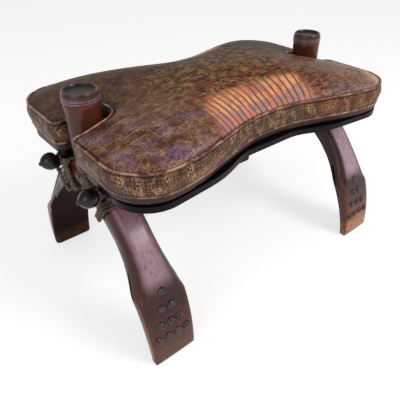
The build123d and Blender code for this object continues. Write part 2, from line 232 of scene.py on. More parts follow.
class WoodSettings(bpy.types.PropertyGroup):
    """Sizes and colours of the arches, posts and rails."""

    stop_chamfer: bpy.props.FloatProperty(
        name="Stop chamfer", description="Width of the chamfer on a leg above its foot",
        default=0.0085, min=0.001, max=0.015, unit="LENGTH")
    wood_colour: bpy.props.FloatVectorProperty(
        name="Wood", description="Red brown of the stained hardwood",
        subtype="COLOR", size=3, min=0, max=1, default=linear(104, 50, 34))
    # Painted sheen: a grey violet reflection painted as colour on the broad faces of the legs and
    # on the crests of the posts
    painted_wax_sheen_colour: bpy.props.FloatVectorProperty(
        name="Wax bloom", description="Grey violet bloom of old wax on the broad faces",
        subtype="COLOR", size=3, min=0, max=1, default=linear(182, 152, 166))
    bare_colour: bpy.props.FloatVectorProperty(
        name="Bare wood", description="Pale wood where the stain has worn off",
        subtype="COLOR", size=3, min=0, max=1, default=linear(196, 148, 92))


class CordSettings(bpy.types.PropertyGroup):
    """Sizes and colours of the lashings."""

    cord_diameter: bpy.props.FloatProperty(
        name="Cord diameter", description="Diameter of the twisted cord",
        default=0.0052, min=0.003, max=0.008, unit="LENGTH")
    twist_length: bpy.props.FloatProperty(
        name="Twist length", description="Length of cord in one full twist",
        default=0.014, min=0.005, max=0.04, unit="LENGTH")
    cord_colour: bpy.props.FloatVectorProperty(
        name="Cord", description="Tan grey of the cord",
        subtype="COLOR", size=3, min=0, max=1, default=linear(146, 126, 108))


class StageSettings(bpy.types.PropertyGroup):
    """Floor and lights."""

    floor_colour: bpy.props.FloatVectorProperty(
        name="Floor", description="Colour of the floor and background",
        subtype="COLOR", size=3, min=0, max=1, default=(0.8, 0.8, 0.8))
    key_power: bpy.props.FloatProperty(
        name="Key light", description="Power of the main soft light",
        default=22.0, min=0, unit="POWER")
    fill_power: bpy.props.FloatProperty(
        name="Fill light", description="Power of the soft light from the other side",
        default=9.0, min=0, unit="POWER")


class NodeSheet:
    """A node tree in the making, with short calls for the nodes that the finishes share."""

    def __init__(self, tree):
        self.nodes, self.links = tree.nodes, tree.links

    def put(self, socket, value):
        """Links a socket, or sets its value."""
        if isinstance(value, bpy.types.NodeSocket):
            self.links.new(value, socket)
        elif hasattr(value, "__len__") and len(value) == 3 and socket.type == "RGBA":
            socket.default_value = (*value, 1)
        else:
            socket.default_value = value

    def node(self, kind, inputs):
        """A new node with its inputs filled in, each found by name or place."""
        node = self.nodes.new(kind)
        for socket, value in inputs.items():
            self.put(node.inputs[socket], value)
        return node

    def mark(self, name, part="Fac"):
        """A value that the mesh carries at its points."""
        node = self.nodes.new("ShaderNodeAttribute")
        node.attribute_name = name
        return node.outputs[part]

    def stretch(self, vector, scale):
        """A place scaled along each axis."""
        return self.node("ShaderNodeMapping", {"Vector": vector, "Scale": scale}).outputs["Vector"]

    def noise(self, vector, scale, detail=4.0, distortion=0.0):
        """Cloudy noise from 0 to 1."""
        inputs = {"Vector": vector, "Scale": scale, "Detail": detail, "Distortion": distortion}
        return self.node("ShaderNodeTexNoise", inputs).outputs["Fac"]

    def cells(self, vector, scale, randomness=0.8):
        """Distance to the nearest edge between cells."""
        node = self.node("ShaderNodeTexVoronoi",
                         {"Vector": vector, "Scale": scale, "Randomness": randomness})
        node.feature = "DISTANCE_TO_EDGE"
        return node.outputs["Distance"]

    def cell_tones(self, vector, scale, randomness=0.8):
        """Random values, each the same all over a cell."""
        node = self.node("ShaderNodeTexVoronoi",
                         {"Vector": vector, "Scale": scale, "Randomness": randomness})
        return self.node("ShaderNodeSeparateColor", {0: node.outputs["Color"]}).outputs

    def maths(self, kind, first, second):
        """The result of a sum or another operation on two values."""
        node = self.node("ShaderNodeMath", {0: first, 1: second})
        node.operation = kind
        return node.outputs[0]

    def add(self, *terms):
        """The sum of several values."""
        total = terms[0]
        for term in terms[1:]:
            total = self.maths("ADD", total, term)
        return total

    def share(self, *factors):
        """The product of several values."""
        product = factors[0]
        for factor in factors[1:]:
            product = self.maths("MULTIPLY", product, factor)
        return product

    def stripes(self, value, pitch):
        """0 on the line between two stripes and 1 in the middle of each."""
        return self.maths("PINGPONG", self.maths("DIVIDE", value, pitch / 2), 1.0)

    def between(self, value, low, high, from_low=0.0, to_high=1.0):
        """Smooth step of a value from low to high."""
        node = self.node("ShaderNodeMapRange", {0: value, 1: low, 2: high, 3: from_low, 4: to_high})
        node.interpolation_type = "SMOOTHSTEP"
        return node.outputs[0]

    def mix(self, share, first, second):
        """The first colour, with a share of the second in it."""
        node = self.nodes.new("ShaderNodeMix")
        node.data_type = "RGBA"
        for socket, value in ((0, share), (6, first), (7, second)):
            self.put(node.inputs[socket], value)
        return node.outputs[2]

    def seen(self):
        """1 for rays that show a surface itself, straight, in gloss or through glass."""
        rays = self.nodes.new("ShaderNodeLightPath").outputs
        shown = self.maths("MAXIMUM", rays["Is Camera Ray"], rays["Is Glossy Ray"])
        return self.maths("MAXIMUM", shown, rays["Is Transmission Ray"])


class Finish(NodeSheet):
    """The material of one finish."""

    def __init__(self, name, roughness, coat=0.0, coat_roughness=0.2, metallic=0.0, specular=0.5):
        self.material = bpy.data.materials.new(name)
        self.material.use_nodes = True
        super().__init__(self.material.node_tree)
        self.shader = self.nodes["Principled BSDF"]
        for socket, value in (("Roughness", roughness), ("Coat Weight", coat),
                              ("Coat Roughness", coat_roughness), ("Metallic", metallic),
                              ("Specular IOR Level", specular)):
            self.shader.inputs[socket].default_value = value
        self.place = self.nodes.new("ShaderNodeTexCoord").outputs["Object"]

    def bump(self, height, distance, strength=1.0):
        """Fine relief from a height."""
        inputs = {"Height": height, "Distance": distance, "Strength": strength}
        return self.node("ShaderNodeBump", inputs).outputs["Normal"]

    def done(self, colour, normal=None, roughness=None):
        """Wires the finish to its shader and gives the material."""
        for socket, value in (("Base Color", colour), ("Normal", normal), ("Roughness", roughness)):
            if value is not None:
                self.put(self.shader.inputs[socket], value)
        return self.material


def wood_finish(name, settings, shade, grain_turn, worn=True, waxed=True, dull=(0.26, 0.44)):
    """Stained hardwood under an old waxed coat, with grain along one axis, worn places and painted
    light.
    """
    wood = Finish(name, roughness=0.34, coat=0.08 if waxed else 0.0, coat_roughness=0.15,
                  specular=0.3 if waxed else 0.06)
    along = wood.stretch(wood.place, grain_turn)
    grain = wood.noise(along, 60.0, 6.0, 0.3)
    streak = wood.noise(along, 210.0, 6.0, 0.1)
    cloud = wood.noise(wood.place, 14.0)
    base = shaded(settings.wood_colour, shade)
    dark = shaded(base, 0.2)
    light = tuple(min(c * more, 1) for c, more in zip(base, (1.7, 1.5, 1.3)))
    colour = wood.mix(wood.between(grain, 0.3, 0.62), shaded(base, 0.5), base)
    colour = wood.mix(wood.share(wood.between(streak, 0.5, 0.7), 0.4), colour, light)
    colour = wood.mix(wood.share(wood.between(streak, 0.5, 0.3), 0.5), colour, dark)
    colour = wood.mix(wood.share(wood.between(cloud, 0.45, 0.68), 0.5), colour, dark)
    if worn:
        colour = wood_wear_and_painted_light(wood, settings, colour, along, cloud)
    height = wood.add(wood.share(grain, 0.5), wood.share(streak, 0.5))
    return wood.done(colour, wood.bump(height, 0.0004, 0.4), wood.between(cloud, 0.3, 0.8, *dull))


def wood_wear_and_painted_light(wood, settings, colour, along, cloud):
    """Warm worn edges, painted sheen with its veins, the end grain of a post, darkening that is
    partly dark stain and partly painted shade, and bare wood.
    """
    warm = wood.share(wood.mark("edge_wear"), wood.between(wood.noise(along, 26.0), 0.28, 0.58))
    # Painted sheen: reflected light painted as a grey violet colour, with darker veins of the grain
    # in it
    painted_wax_sheen = wood.share(wood.mark("painted_wax_sheen"), wood.between(wood.noise(along, 70.0, 5.0), 0.12, 0.56))
    fine = wood.noise(wood.stretch(along, (2.0, 1.0, 0.5)), 60.0, 4.0, 0.2)
    vein = wood.share(wood.mark("painted_wax_sheen"), wood.between(fine, 0.54, 0.68), 0.45)
    end_grain = wood.mix(wood.between(cloud, 0.4, 0.6), linear(24, 20, 17), linear(46, 42, 34))
    # Darkening: dark stain on the rail knobs and feet, darker posts towards the bottom, and painted
    # shade on the inner faces of the legs
    dark_stain_and_shade = wood.share(wood.mark("dark_stain_and_shade"), wood.between(cloud, 0.2, 0.55, 0.62, 1.0))
    bare = wood.share(wood.mark("bare"), wood.between(wood.noise(along, 130.0, 5.0), 0.46, 0.56))
    for share, layer in ((warm, linear(162, 76, 40)), (painted_wax_sheen, tuple(settings.painted_wax_sheen_colour)),
                         (vein, linear(74, 52, 56)), (wood.mark("disc"), end_grain),
                         (dark_stain_and_shade, linear(30, 17, 18)), (bare, tuple(settings.bare_colour))):
        colour = wood.mix(share, colour, layer)
    return colour


class Leather(Finish):
    """Embossed leather: a gold net in the middle, ribs at the waist, clouded and scaled lobes."""

    def __init__(self, name, settings):
        super().__init__(name, roughness=0.5, coat=0.1, coat_roughness=0.2, specular=0.2)
        self.hide = tuple(settings.hide_colour)
        self.gilt = tuple(settings.gilt_colour)
        self.violet = tuple(settings.violet_colour)
        place = self.node("ShaderNodeSeparateXYZ", {0: self.mark("edge_place", "Vector")})
        self.along, self.depth, self.level = place.outputs
        self.ribs, self.calm, self.in_rows = self.mark("ribs"), self.mark("calm"), self.mark("rows")
        self.cloud = self.noise(self.place, 36.0, 5.0)
        self.patchy = self.noise(self.place, 60.0, 5.0)
        self.fleck = self.noise(self.stretch(self.place, (0.26, 1.35, 1.0)), 200.0, 4.0, 0.7)
        self.threads = self.cells(self.mark("middle_cells", "Vector"), 1.0, 0.95)
        self.rib_way = self.add(self.along, self.share(self.cloud, 0.006))
        self.rib = self.stripes(self.rib_way, RIB_PITCH)
        self.scale_place = self.stretch(self.place, (1.0, 1.0, 0.8))
        self.scale_edges = self.cells(self.scale_place, SCALES_PER_METRE)
        self.row_lines = self.maths(
            "MINIMUM",
            self.stripes(self.add(self.along, self.share(self.cloud, 0.012)), ROW_PITCHES[0]),
            self.stripes(self.add(self.level, self.share(self.cloud, 0.010)), ROW_PITCHES[1]))
        tint = self.mark("tint", "Color")
        self.dark = self.mix(0.8, tint, shaded(self.hide, 0.35))
        clouded = self.share(self.between(self.cloud, 0.42, 0.66),
                             self.add(self.share(self.ribs, -0.1), 0.45))
        colour = self.mix(clouded, tint, self.dark)
        for layers in (self.middle(), self.waist(), self.lobes(), self.scales()):
            for share, layer in layers:
                colour = self.mix(share, colour, layer)
        grain = self.noise(self.place, 700.0, 3.0)
        rough = self.add(self.share(self.mark("gloss"), -0.36), 0.64, self.share(grain, 0.08))
        self.done(colour, self.bump(self.relief(grain), 0.0018), rough)

    def middle(self):
        """Red patches, a net of fine gold threads and long dark flecks."""
        red = self.noise(self.stretch(self.place, (0.4, 1.2, 1.0)), 90.0)
        net = self.share(self.between(self.threads, 0.20, 0.07),
                         self.between(self.patchy, 0.38, 0.56), self.mark("threads"))
        flecks = self.share(self.between(self.fleck, 0.515, 0.585), self.mark("flecks"))
        return ((self.share(self.between(red, 0.5, 0.62), self.calm, 0.4), linear(118, 58, 34)),
                (net, linear(176, 138, 78)), (flecks, shaded(self.hide, 0.4)))

    def waist(self):
        """Cells along the ribs, lilac near the edge and gold further in."""
        cell = self.node("ShaderNodeCombineXYZ", {
            0: self.maths("DIVIDE", self.rib_way, RIB_PITCH),
            1: self.maths("DIVIDE", self.depth, RIB_CELL)})
        tone = self.cell_tones(cell.outputs[0], 1.0, 0.35)
        lilac = self.share(self.ribs, self.between(tone[0], 0.2, 0.7),
                           self.between(self.depth, 0.050, 0.016, 0.25, 0.85))
        gold = self.share(self.ribs, self.between(tone[1], 0.36, 0.50),
                          self.between(self.depth, 0.012, 0.028),
                          self.between(self.noise(self.place, 80.0), 0.34, 0.5),
                          self.between(self.rib, 0.2, 0.6), 0.8)
        return (lilac, linear(176, 132, 132)), (gold, linear(255, 190, 122))

    def lobes(self):
        """Violet clouds, partly a painted sheen, and wine clouds, crossed by thin gold cracks."""
        wide = self.noise(self.place, 27.0, 3.0, 0.4)
        way = self.add(self.along, self.share(self.noise(self.place, 16.0, 3.0), 0.016))
        crack = self.share(self.between(self.stripes(way, CRACK_PITCH), 0.16, 0.05),
                           self.between(self.noise(self.place, 30.0), 0.40, 0.52),
                           self.mark("cracks"))
        return ((self.share(self.mark("violet"), self.between(wide, 0.44, 0.60)), self.violet),
                (self.share(self.mark("wine"), self.between(wide, 0.50, 0.38)), linear(86, 30, 22)),
                (crack, self.gilt))

    def scales(self):
        """Rows of small scales, their pale edges, and the shadows of ribs and seams."""
        tone = self.cell_tones(self.scale_place, SCALES_PER_METRE)[0]
        # Pale edges of the scales: pale gilt, with painted glints on the scale edges
        pale = self.share(self.between(self.scale_edges, 0.15, 0.04),
                          self.between(self.patchy, 0.42, 0.62), self.mark("pale_scales"))
        shadow = shaded(self.hide, 0.5)
        return ((self.share(self.between(self.row_lines, 0.42, 0.12), self.in_rows), shadow),
                (self.share(self.between(tone, 0.35, 0.75), self.mark("scales"), 0.85), self.dark),
                (pale, linear(224, 178, 136)),
                (self.share(self.between(self.rib, 0.20, 0.05), self.ribs), shadow),
                (self.mark("painted_seam_shade"), linear(24, 12, 10)))

    def relief(self, grain):
        """Height of the embossing: ribs, scales, flecks, threads, rows and grain."""
        return self.add(self.share(self.between(self.rib, 0.0, 0.7), self.ribs, 1.3),
                        self.share(self.between(self.scale_edges, 0.0, 0.2), 0.3),
                        self.share(self.between(self.fleck, 0.64, 0.45), self.calm, 0.8),
                        self.share(self.between(self.threads, 0.0, 0.16), self.calm, 0.4),
                        self.share(self.between(self.row_lines, 0.0, 0.5), self.in_rows, 0.9),
                        self.share(grain, 0.12))


def piping_finish(name, colour):
    """Leather piping, worn pale along its ridge, with a painted highlight along its top."""
    piping = Finish(name, roughness=0.3, coat=0.2, specular=0.4)
    worn = piping.between(piping.noise(piping.place, 95.0, 5.0), 0.4, 0.62)
    shade = piping.mix(worn, shaded(colour, 0.3), colour)
    # Pale top of the piping: painted highlight mixed with worn leather
    pale_wear_and_highlight = piping.share(piping.mark("ridge"),
                          piping.between(piping.noise(piping.place, 60.0), 0.46, 0.6))
    shade = piping.mix(pale_wear_and_highlight, shade, linear(204, 150, 116))
    return piping.done(shade, piping.bump(piping.noise(piping.place, 420.0), 0.0006, 0.7))


def stud_finish(name):
    """Dark pewter, hammered and dull in the hollows."""
    pewter = Finish(name, roughness=0.42, metallic=0.7)
    blot = pewter.noise(pewter.place, 260.0)
    colour = pewter.mix(pewter.between(blot, 0.35, 0.65), linear(46, 38, 38), linear(92, 80, 84))
    dull = pewter.between(blot, 0.3, 0.7, 0.30, 0.46)
    return pewter.done(colour, pewter.bump(blot, 0.0004, 0.5), dull)


def cord_finish(name, settings):
    """Twisted cord of fibres, dirty in the lay."""
    cord = Finish(name, roughness=0.85, specular=0.2)
    fibre = cord.noise(cord.place, 900.0, 5.0, 0.8)
    dirt = cord.noise(cord.place, 90.0, 3.0)
    base = tuple(settings.cord_colour)
    colour = cord.mix(cord.between(fibre, 0.35, 0.65), shaded(base, 0.35), base)
    colour = cord.mix(cord.share(cord.between(dirt, 0.4, 0.65), 0.5), colour, shaded(base, 0.15))
    return cord.done(colour, cord.bump(fibre, 0.0006, 0.8))


def board_finish(name):
    """Black painted board, satin, scuffed at the rim."""
    paint = Finish(name, roughness=0.3, specular=0.1)
    scuff = paint.noise(paint.place, 130.0, 5.0)
    colour = paint.mix(paint.between(scuff, 0.55, 0.75), linear(15, 11, 12), linear(34, 27, 27))
    return paint.done(colour, paint.bump(scuff, 0.0004, 0.5))


def thread_finish(name):
    """Red sewing thread with a fine twist."""
    thread = Finish(name, roughness=0.6, specular=0.3)
    twist = thread.noise(thread.stretch(thread.place, (1.0, 0.4, 0.4)), 700.0, 3.0)
    colour = thread.mix(thread.between(twist, 0.35, 0.65), linear(96, 20, 14), linear(186, 56, 34))
    return thread.done(colour, thread.bump(twist, 0.0004, 0.7))


def floor_finish(name, colour):
    """A pale floor that shows white where nothing shades it."""
    floor = Finish(name, roughness=0.9, specular=0.1)
    seen = floor.seen()
    floor.put(floor.shader.inputs["Emission Color"], (1, 1, 1))
    floor.put(floor.shader.inputs["Emission Strength"], floor.share(seen, FLOOR_GLOW))
    return floor.done(floor.mix(seen, colour, shaded(colour, 0.72)))


def make_piece(name, points, faces, body, material):
    """A smooth mesh piece from points and faces that rides on a body."""
    mesh = bpy.data.meshes.new(name)
    mesh.from_pydata([tuple(p) for p in points], [], faces)
    mesh.validate()
    shaper = bmesh.new()
    shaper.from_mesh(mesh)
    bmesh.ops.recalc_face_normals(shaper, faces=shaper.faces)
    shaper.to_mesh(mesh)
    shaper.free()
    smooth_all(mesh)
    piece = bpy.data.objects.new(name, mesh)
    bpy.context.scene.collection.objects.link(piece)
    mesh.materials.append(material)
    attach(piece, body)
    return piece


def smooth_all(mesh):
    """Shades every face of a mesh smooth."""
    mesh.polygons.foreach_set("use_smooth", [True] * len(mesh.polygons))


def mark_points(mesh, name, values, kind="FLOAT"):
    """Stores a value for each point of a mesh."""
    layer = mesh.attributes.new(name, kind, "POINT")
    key = {"FLOAT": "value", "FLOAT_VECTOR": "vector", "FLOAT_COLOR": "color"}[kind]
    layer.data.foreach_set(key, np.asarray(values, np.float32).ravel())


def coordinates(mesh):
    """The points of a mesh as an array."""
    spots = np.zeros(len(mesh.vertices) * 3)
    mesh.vertices.foreach_get("co", spots)
    return spots.reshape(-1, 3)


def set_coordinates(mesh, spots):
    """Moves the points of a mesh to those of an array."""
    mesh.vertices.foreach_set("co", np.asarray(spots, np.float32).ravel())
    mesh.update()


def with_modifiers(piece):
    """The piece's mesh with its modifiers applied, which are then taken off."""
    bpy.context.view_layer.update()
    graph = bpy.context.evaluated_depsgraph_get()
    mesh = bpy.data.meshes.new_from_object(piece.evaluated_get(graph), depsgraph=graph)
    piece.modifiers.clear()
    old = piece.data
    piece.data = mesh
    bpy.data.meshes.remove(old)
    return mesh


def ring_angles(steps):
    """Evenly spread angles of a full turn."""
    return np.linspace(0, 2 * math.pi, steps, endpoint=False)


def tube_faces(rings, sides, joined=False):
    """Faces between rings of points in order, with caps unless the tube is joined."""
    faces = []
    for ring in range(rings if joined else rings - 1):
        for side in range(sides):
            here, there, after = ring * sides, (ring + 1) % rings * sides, (side + 1) % sides
            faces.append((here + side, here + after, there + after, there + side))
    if not joined:
        faces.append(tuple(range(sides))[::-1])
        faces.append(tuple((rings - 1) * sides + side for side in range(sides)))
    return faces


def moved_faces(faces, base):
    """Faces renumbered for points that follow a number of others."""
    return [tuple(base + i for i in face) for face in faces]


def turned(profile, steps, waviness=0.0, seed=0):
    """Points and faces of a closed lathe form about Z, from pairs of radius and height."""
    rng = np.random.default_rng(seed)
    turns = ring_angles(steps)
    points = []
    for radius, height in profile:
        waves = np.sin(2 * turns + rng.uniform(0, 6)) + np.sin(3 * turns + rng.uniform(0, 6))
        points += [(radius * w * math.cos(a), radius * w * math.sin(a), height)
                   for a, w in zip(turns, 1 + waviness * waves)]
    return np.array(points), tube_faces(len(profile), steps)


def unit(vectors):
    """Vectors of length 1, one or one in each row."""
    return vectors / np.linalg.norm(vectors, axis=-1, keepdims=True)


def rounded_outline(corners, spacing):
    """Points along a closed outline with rounded corners, each given as x, y and bend."""
    arcs = []
    for i, (x, y, bend) in enumerate(corners):
        here = np.array((x, y))
        before = unit(np.array(corners[i - 1][:2]) - here)
        after = unit(np.array(corners[(i + 1) % len(corners)][:2]) - here)
        half = math.acos(np.clip(before @ after, -1, 1)) / 2
        reach = bend / math.tan(half)
        centre = here + unit(before + after) * bend / math.sin(half)
        first, last = (math.atan2(*(here + way * reach - centre)[::-1]) for way in (before, after))
        turn = (last - first + math.pi) % (2 * math.pi) - math.pi
        steps = max(3, int(abs(turn) * bend / spacing))
        angles = first + turn * np.arange(steps + 1) / steps
        arcs.append(centre + bend * np.c_[np.cos(angles), np.sin(angles)])
    points = []
    for arc, following in zip(arcs, arcs[1:] + arcs[:1]):
        gap = following[0] - arc[-1]
        count = int(np.hypot(*gap) / spacing)
        points += [*arc, *(arc[-1] + gap * k / (count + 1) for k in range(1, count + 1))]
    return np.array(points)


def ring_corners(quarter):
    """All corners of a plan that is mirrored end to end and side to side."""
    right = list(quarter) + [(x, -y, bend) for x, y, bend in reversed(quarter)]
    return right + [(-x, y, bend) for x, y, bend in reversed(right)]


def seat_corners(inset=0.0):
    """Corners of the cushion with its two slots, drawn in by an inset."""
    quarter = [(x - (inset if x > 0.2 else 0), y - inset, bend) for x, y, bend in PAD_PLAN]
    quarter.append((PAD_PLAN[-1][0] - inset, SLOT_HALF, MOUTH_ROUND - inset))
    quarter.append((SLOT_END_X, SLOT_HALF, SLOT_ROUND))
    return ring_corners(quarter)


def prism(plan, low, high):
    """Points and faces of a closed prism over a plan."""
    count = len(plan)
    points = [(x, y, z) for z in (low, high) for x, y in plan]
    faces = [tuple(range(count)), tuple(range(count, 2 * count))]
    faces += [(i, (i + 1) % count, count + (i + 1) % count, count + i) for i in range(count)]
    return points, faces


def slot_rise(x):
    """How far the top seam has risen at a place along a slot."""
    share = (SLOT_MOUTH_X - np.abs(x)) / (SLOT_MOUTH_X - SLOT_END_X)
    return SLOT_EDGE_RISE * eased(0.0, 1.0, share)


def rim_height(x, y):
    """Height of the top seam: level outside, and rising into the slots."""
    in_slot = (np.abs(y) < SLOT_HALF + MOUTH_ROUND * 0.6) & (np.abs(x) > 0.19)
    return TOP_SEAM_Z + np.where(in_slot, slot_rise(x), 0.0)


def slot_distance(x, y):
    """How far a place lies from the edge of the nearer slot."""
    reach_x = np.clip(SLOT_END_X + SLOT_ROUND - np.abs(x), 0, None)
    flat_y = np.clip(np.abs(y) - (SLOT_HALF - SLOT_ROUND), 0, None)
    round_end = np.hypot(reach_x, flat_y) - SLOT_ROUND
    straight = np.abs(x) > SLOT_END_X + SLOT_ROUND
    return np.clip(np.where(straight, np.abs(y) - SLOT_HALF, round_end), 0, None)


class Outline:
    """A closed plan line that tells where points lie against it."""

    def __init__(self, corners):
        self.points = rounded_outline(corners, OUTLINE_SPACING)
        steps = np.roll(self.points, -1, 0) - self.points
        self.lengths = np.hypot(*steps.T)
        self.along = np.r_[0, np.cumsum(self.lengths)][:-1]
        self.directions = steps / self.lengths[:, None]
        self.tree = KDTree(len(self.points))
        for i, (x, y) in enumerate(self.points):
            self.tree.insert((x, y, 0), i)
        self.tree.balance()

    def at(self, plan):
        """Distance inside the line, place along it and outward direction for each point."""
        index = np.array([self.tree.find((x, y, 0))[1] for x, y in plan])
        best = np.full(len(plan), 1e9)
        along, out = np.zeros(len(plan)), np.zeros((len(plan), 2))
        for shift in (-1, 0):
            i = (index + shift) % len(self.points)
            away = plan - self.points[i]
            run = np.clip((away * self.directions[i]).sum(1), 0, self.lengths[i])
            far = np.hypot(*(away - run[:, None] * self.directions[i]).T)
            closer = far < best
            best = np.where(closer, far, best)
            along = np.where(closer, self.along[i] + run, along)
            out[closer] = (self.directions[i][:, ::-1] * (-1, 1))[closer]
        return best, along, out


def inflate(piece, held, limit):
    """Lets the filling push the leather out between the held seams, and keeps the result."""
    group = piece.vertex_groups.new(name="held")
    group.add([int(i) for i in np.nonzero(held)[0]], 1.0, "REPLACE")
    start = coordinates(piece.data)
    cloth = piece.modifiers.new("filling", "CLOTH")
    settings = cloth.settings
    settings.quality = 4
    settings.mass = 0.3
    settings.tension_stiffness = 12
    settings.compression_stiffness = 12
    settings.shear_stiffness = 6
    settings.bending_stiffness = 2.0
    settings.use_pressure = True
    settings.uniform_pressure_force = 4.0
    settings.vertex_group_mass = "held"
    settings.effector_weights.gravity = 0.0
    cloth.collision_settings.use_collision = False
    cloth.collision_settings.use_self_collision = False
    scene = bpy.context.scene
    for moment in range(1, 21):
        scene.frame_set(moment)
    mesh = with_modifiers(piece)
    scene.frame_set(1)
    pushed = coordinates(mesh) - start
    far = np.linalg.norm(pushed, axis=1, keepdims=True)
    set_coordinates(mesh, start + pushed * np.minimum(1, limit / np.maximum(far, 1e-9)))
    piece.vertex_groups.clear()


def bow_y(bow, foot_y, z):
    """Distance of a bow from the middle plane at a height."""
    radius, centre_z = bow
    centre_y = foot_y - math.sqrt(radius**2 - centre_z**2)
    return centre_y + math.sqrt(radius**2 - (z - centre_z) ** 2)


def bow_run(bow, foot_y, end_z=None):
    """Points of a bow from the foot up to a height, or to the middle plane."""
    radius, centre_z = bow
    centre_y = foot_y - math.sqrt(radius**2 - centre_z**2)
    start = math.atan2(-centre_z, foot_y - centre_y)
    end = math.asin((end_z - centre_z) / radius) if end_z else math.acos(-centre_y / radius)
    turns = np.linspace(start, end, 200)
    return np.c_[centre_y + radius * np.cos(turns), centre_z + radius * np.sin(turns)]


def evenly(points, count):
    """Points spread evenly along a run of points."""
    steps = np.r_[0, np.cumsum(np.hypot(*np.diff(points, axis=0).T))]
    at = np.linspace(0, steps[-1], count)
    return np.c_[np.interp(at, steps, points[:, 0]), np.interp(at, steps, points[:, 1])]


class STOOL_OT_arch_legs(bpy.types.Operator):
    """Carves the four bowed legs, with stop chamfers above flat flared feet"""

    bl_idname = "stool.arch_legs"
    bl_label = "Arch legs"

    def execute(self, context):
        wood = context.scene.stool_wood
        grain = (9.0, 2.2, 1.0)
        outer_finish = wood_finish("waxed_leg_wood", wood, 1.0, grain)
        # A darker copy of the wood for the inner faces of the legs: painted shade
        shaded_inner_finish = wood_finish("shaded_inner_leg_wood", wood, 0.6, grain, waxed=False,
                                   dull=(0.7, 0.75))
        for name, end, side in SIDES:
            points, marks, sides = self.carved(end, side, wood.stop_chamfer)
            piece = make_piece("leg_" + name + "_carved", points, tube_faces(LEG_RINGS, sides),
                               "frame", outer_finish)
            piece.data.materials.append(shaded_inner_finish)
            self.wear(piece.data, marks, LEG_WEAR[name])
            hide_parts("leg_" + name)
        return {"FINISHED"}

    def carved(self, end, side, stop_chamfer):
        """Points of a leg in rings, what each says about its wear, and how many a ring has."""
        outer = np.vstack([bow_run(OUTER_BOW, FOOT_Y, POST_SEAT_Z), [(0.0, POST_SEAT_Z)]])
        inner = bow_run(INNER_BOW, FOOT_Y - FOOT_THICKNESS)
        points, marks = [], []
        for out, into in zip(evenly(outer, LEG_RINGS), evenly(inner, LEG_RINGS)):
            depth = max(np.hypot(*(out - into)), 1e-6)
            direction = (out - into) / depth
            cut = stop_chamfer * float(eased(0.110, 0.134, out[1])) + FOOT_CHAMFER
            ring, low = self.section(depth, cut)
            for across, trim, drop in ring:
                face = drop == 0 and abs(across) < 1
                swell = HEWN_SWELL * (1 - across * across) if face else 0.0
                spot = into + direction * (depth - drop)
                half = float(np.interp(spot[1], LEG_HEIGHTS, LEG_HALF_WIDTHS)) + trim
                spot = spot + direction * swell
                points.append((end * POST_X + across * half, side * spot[0], max(spot[1], 0.0)))
                marks.append((face, across, out[1], drop / depth, drop <= low))
        return np.array(points), np.array(marks, float), len(ring)

    def section(self, depth, cut):
        """Places round a section: share of the half width, side trim and depth under the bow."""
        low = min(cut * 1.3, depth * 0.5)
        edge = [(-cut * 1.15, 0.0), (-cut * 0.62, low * 0.30), (-cut * 0.30, low * 0.60),
                (0.0, low), (0.0, low + (depth - low) * 0.35), (0.0, low + (depth - low) * 0.70),
                (-0.0007, depth - 0.0052), (-0.0028, depth - 0.0018), (-0.0062, depth)]
        ring = [(across, 0.0, 0.0) for across in (-0.8, -0.45, 0, 0.45, 0.8)]
        ring += [(1, trim, drop) for trim, drop in edge]
        ring += [(across, 0.0, depth) for across in (0.45, 0.0, -0.45)]
        ring += [(-1, trim, drop) for trim, drop in reversed(edge)]
        return ring, low

    def wear(self, mesh, marks, shares):
        """Marks where painted sheen, worn edges, darkening and bare wood lie on a leg; the inner
        faces take painted shade and the shaded copy of the wood.
        """
        face, across, z, inward, chamfer = marks.T
        for polygon in mesh.polygons:
            # Inner faces take the darker copy of the wood as painted shade
            polygon.material_index = int(min(inward[i] for i in polygon.vertices) > 0.6)
        side = np.abs(across)
        # Painted sheen on the broad face, between the shoulder of the foot and the seat
        painted_wax_sheen = face * eased(0.116, 0.150, z) * (1 - eased(0.225, 0.262, z)) * (1 - side**3)
        upper = (0.3 + 0.7 * face) * eased(0.205, 0.25, z) * (1 - 0.8 * eased(0.262, 0.278, z))
        lower = face * (1 - eased(0.03, 0.085, z)) * shares["warm"]
        ridge = 0.5 * face * (side > 0.7) * eased(0.13, 0.16, z)
        chamfer = chamfer * (side > 0.99) * eased(0.11, 0.14, z)
        paddle = face * np.maximum(eased(0.05, 0.10, z), shares["dark_stain_and_shade"])
        paddle = paddle * (1 - eased(0.118, 0.15, z))
        # Painted shade on the inner faces, and darker paddles and chamfers
        dark_stain_and_shade = np.maximum(np.maximum(0.9 * (inward > 0.45), 0.72 * paddle), 0.55 * chamfer)
        bare = shares["bare"] * (1 - eased(0.012, 0.052, z)) * (face * 0.6 + 0.4)
        edge_wear = np.maximum(np.maximum(upper, lower), ridge)
        for mark, values in (("painted_wax_sheen", painted_wax_sheen * shares["painted_wax_sheen"]), ("edge_wear", edge_wear),
                             ("dark_stain_and_shade", dark_stain_and_shade), ("bare", bare)):
            mark_points(mesh, mark, np.clip(values, 0, 1))


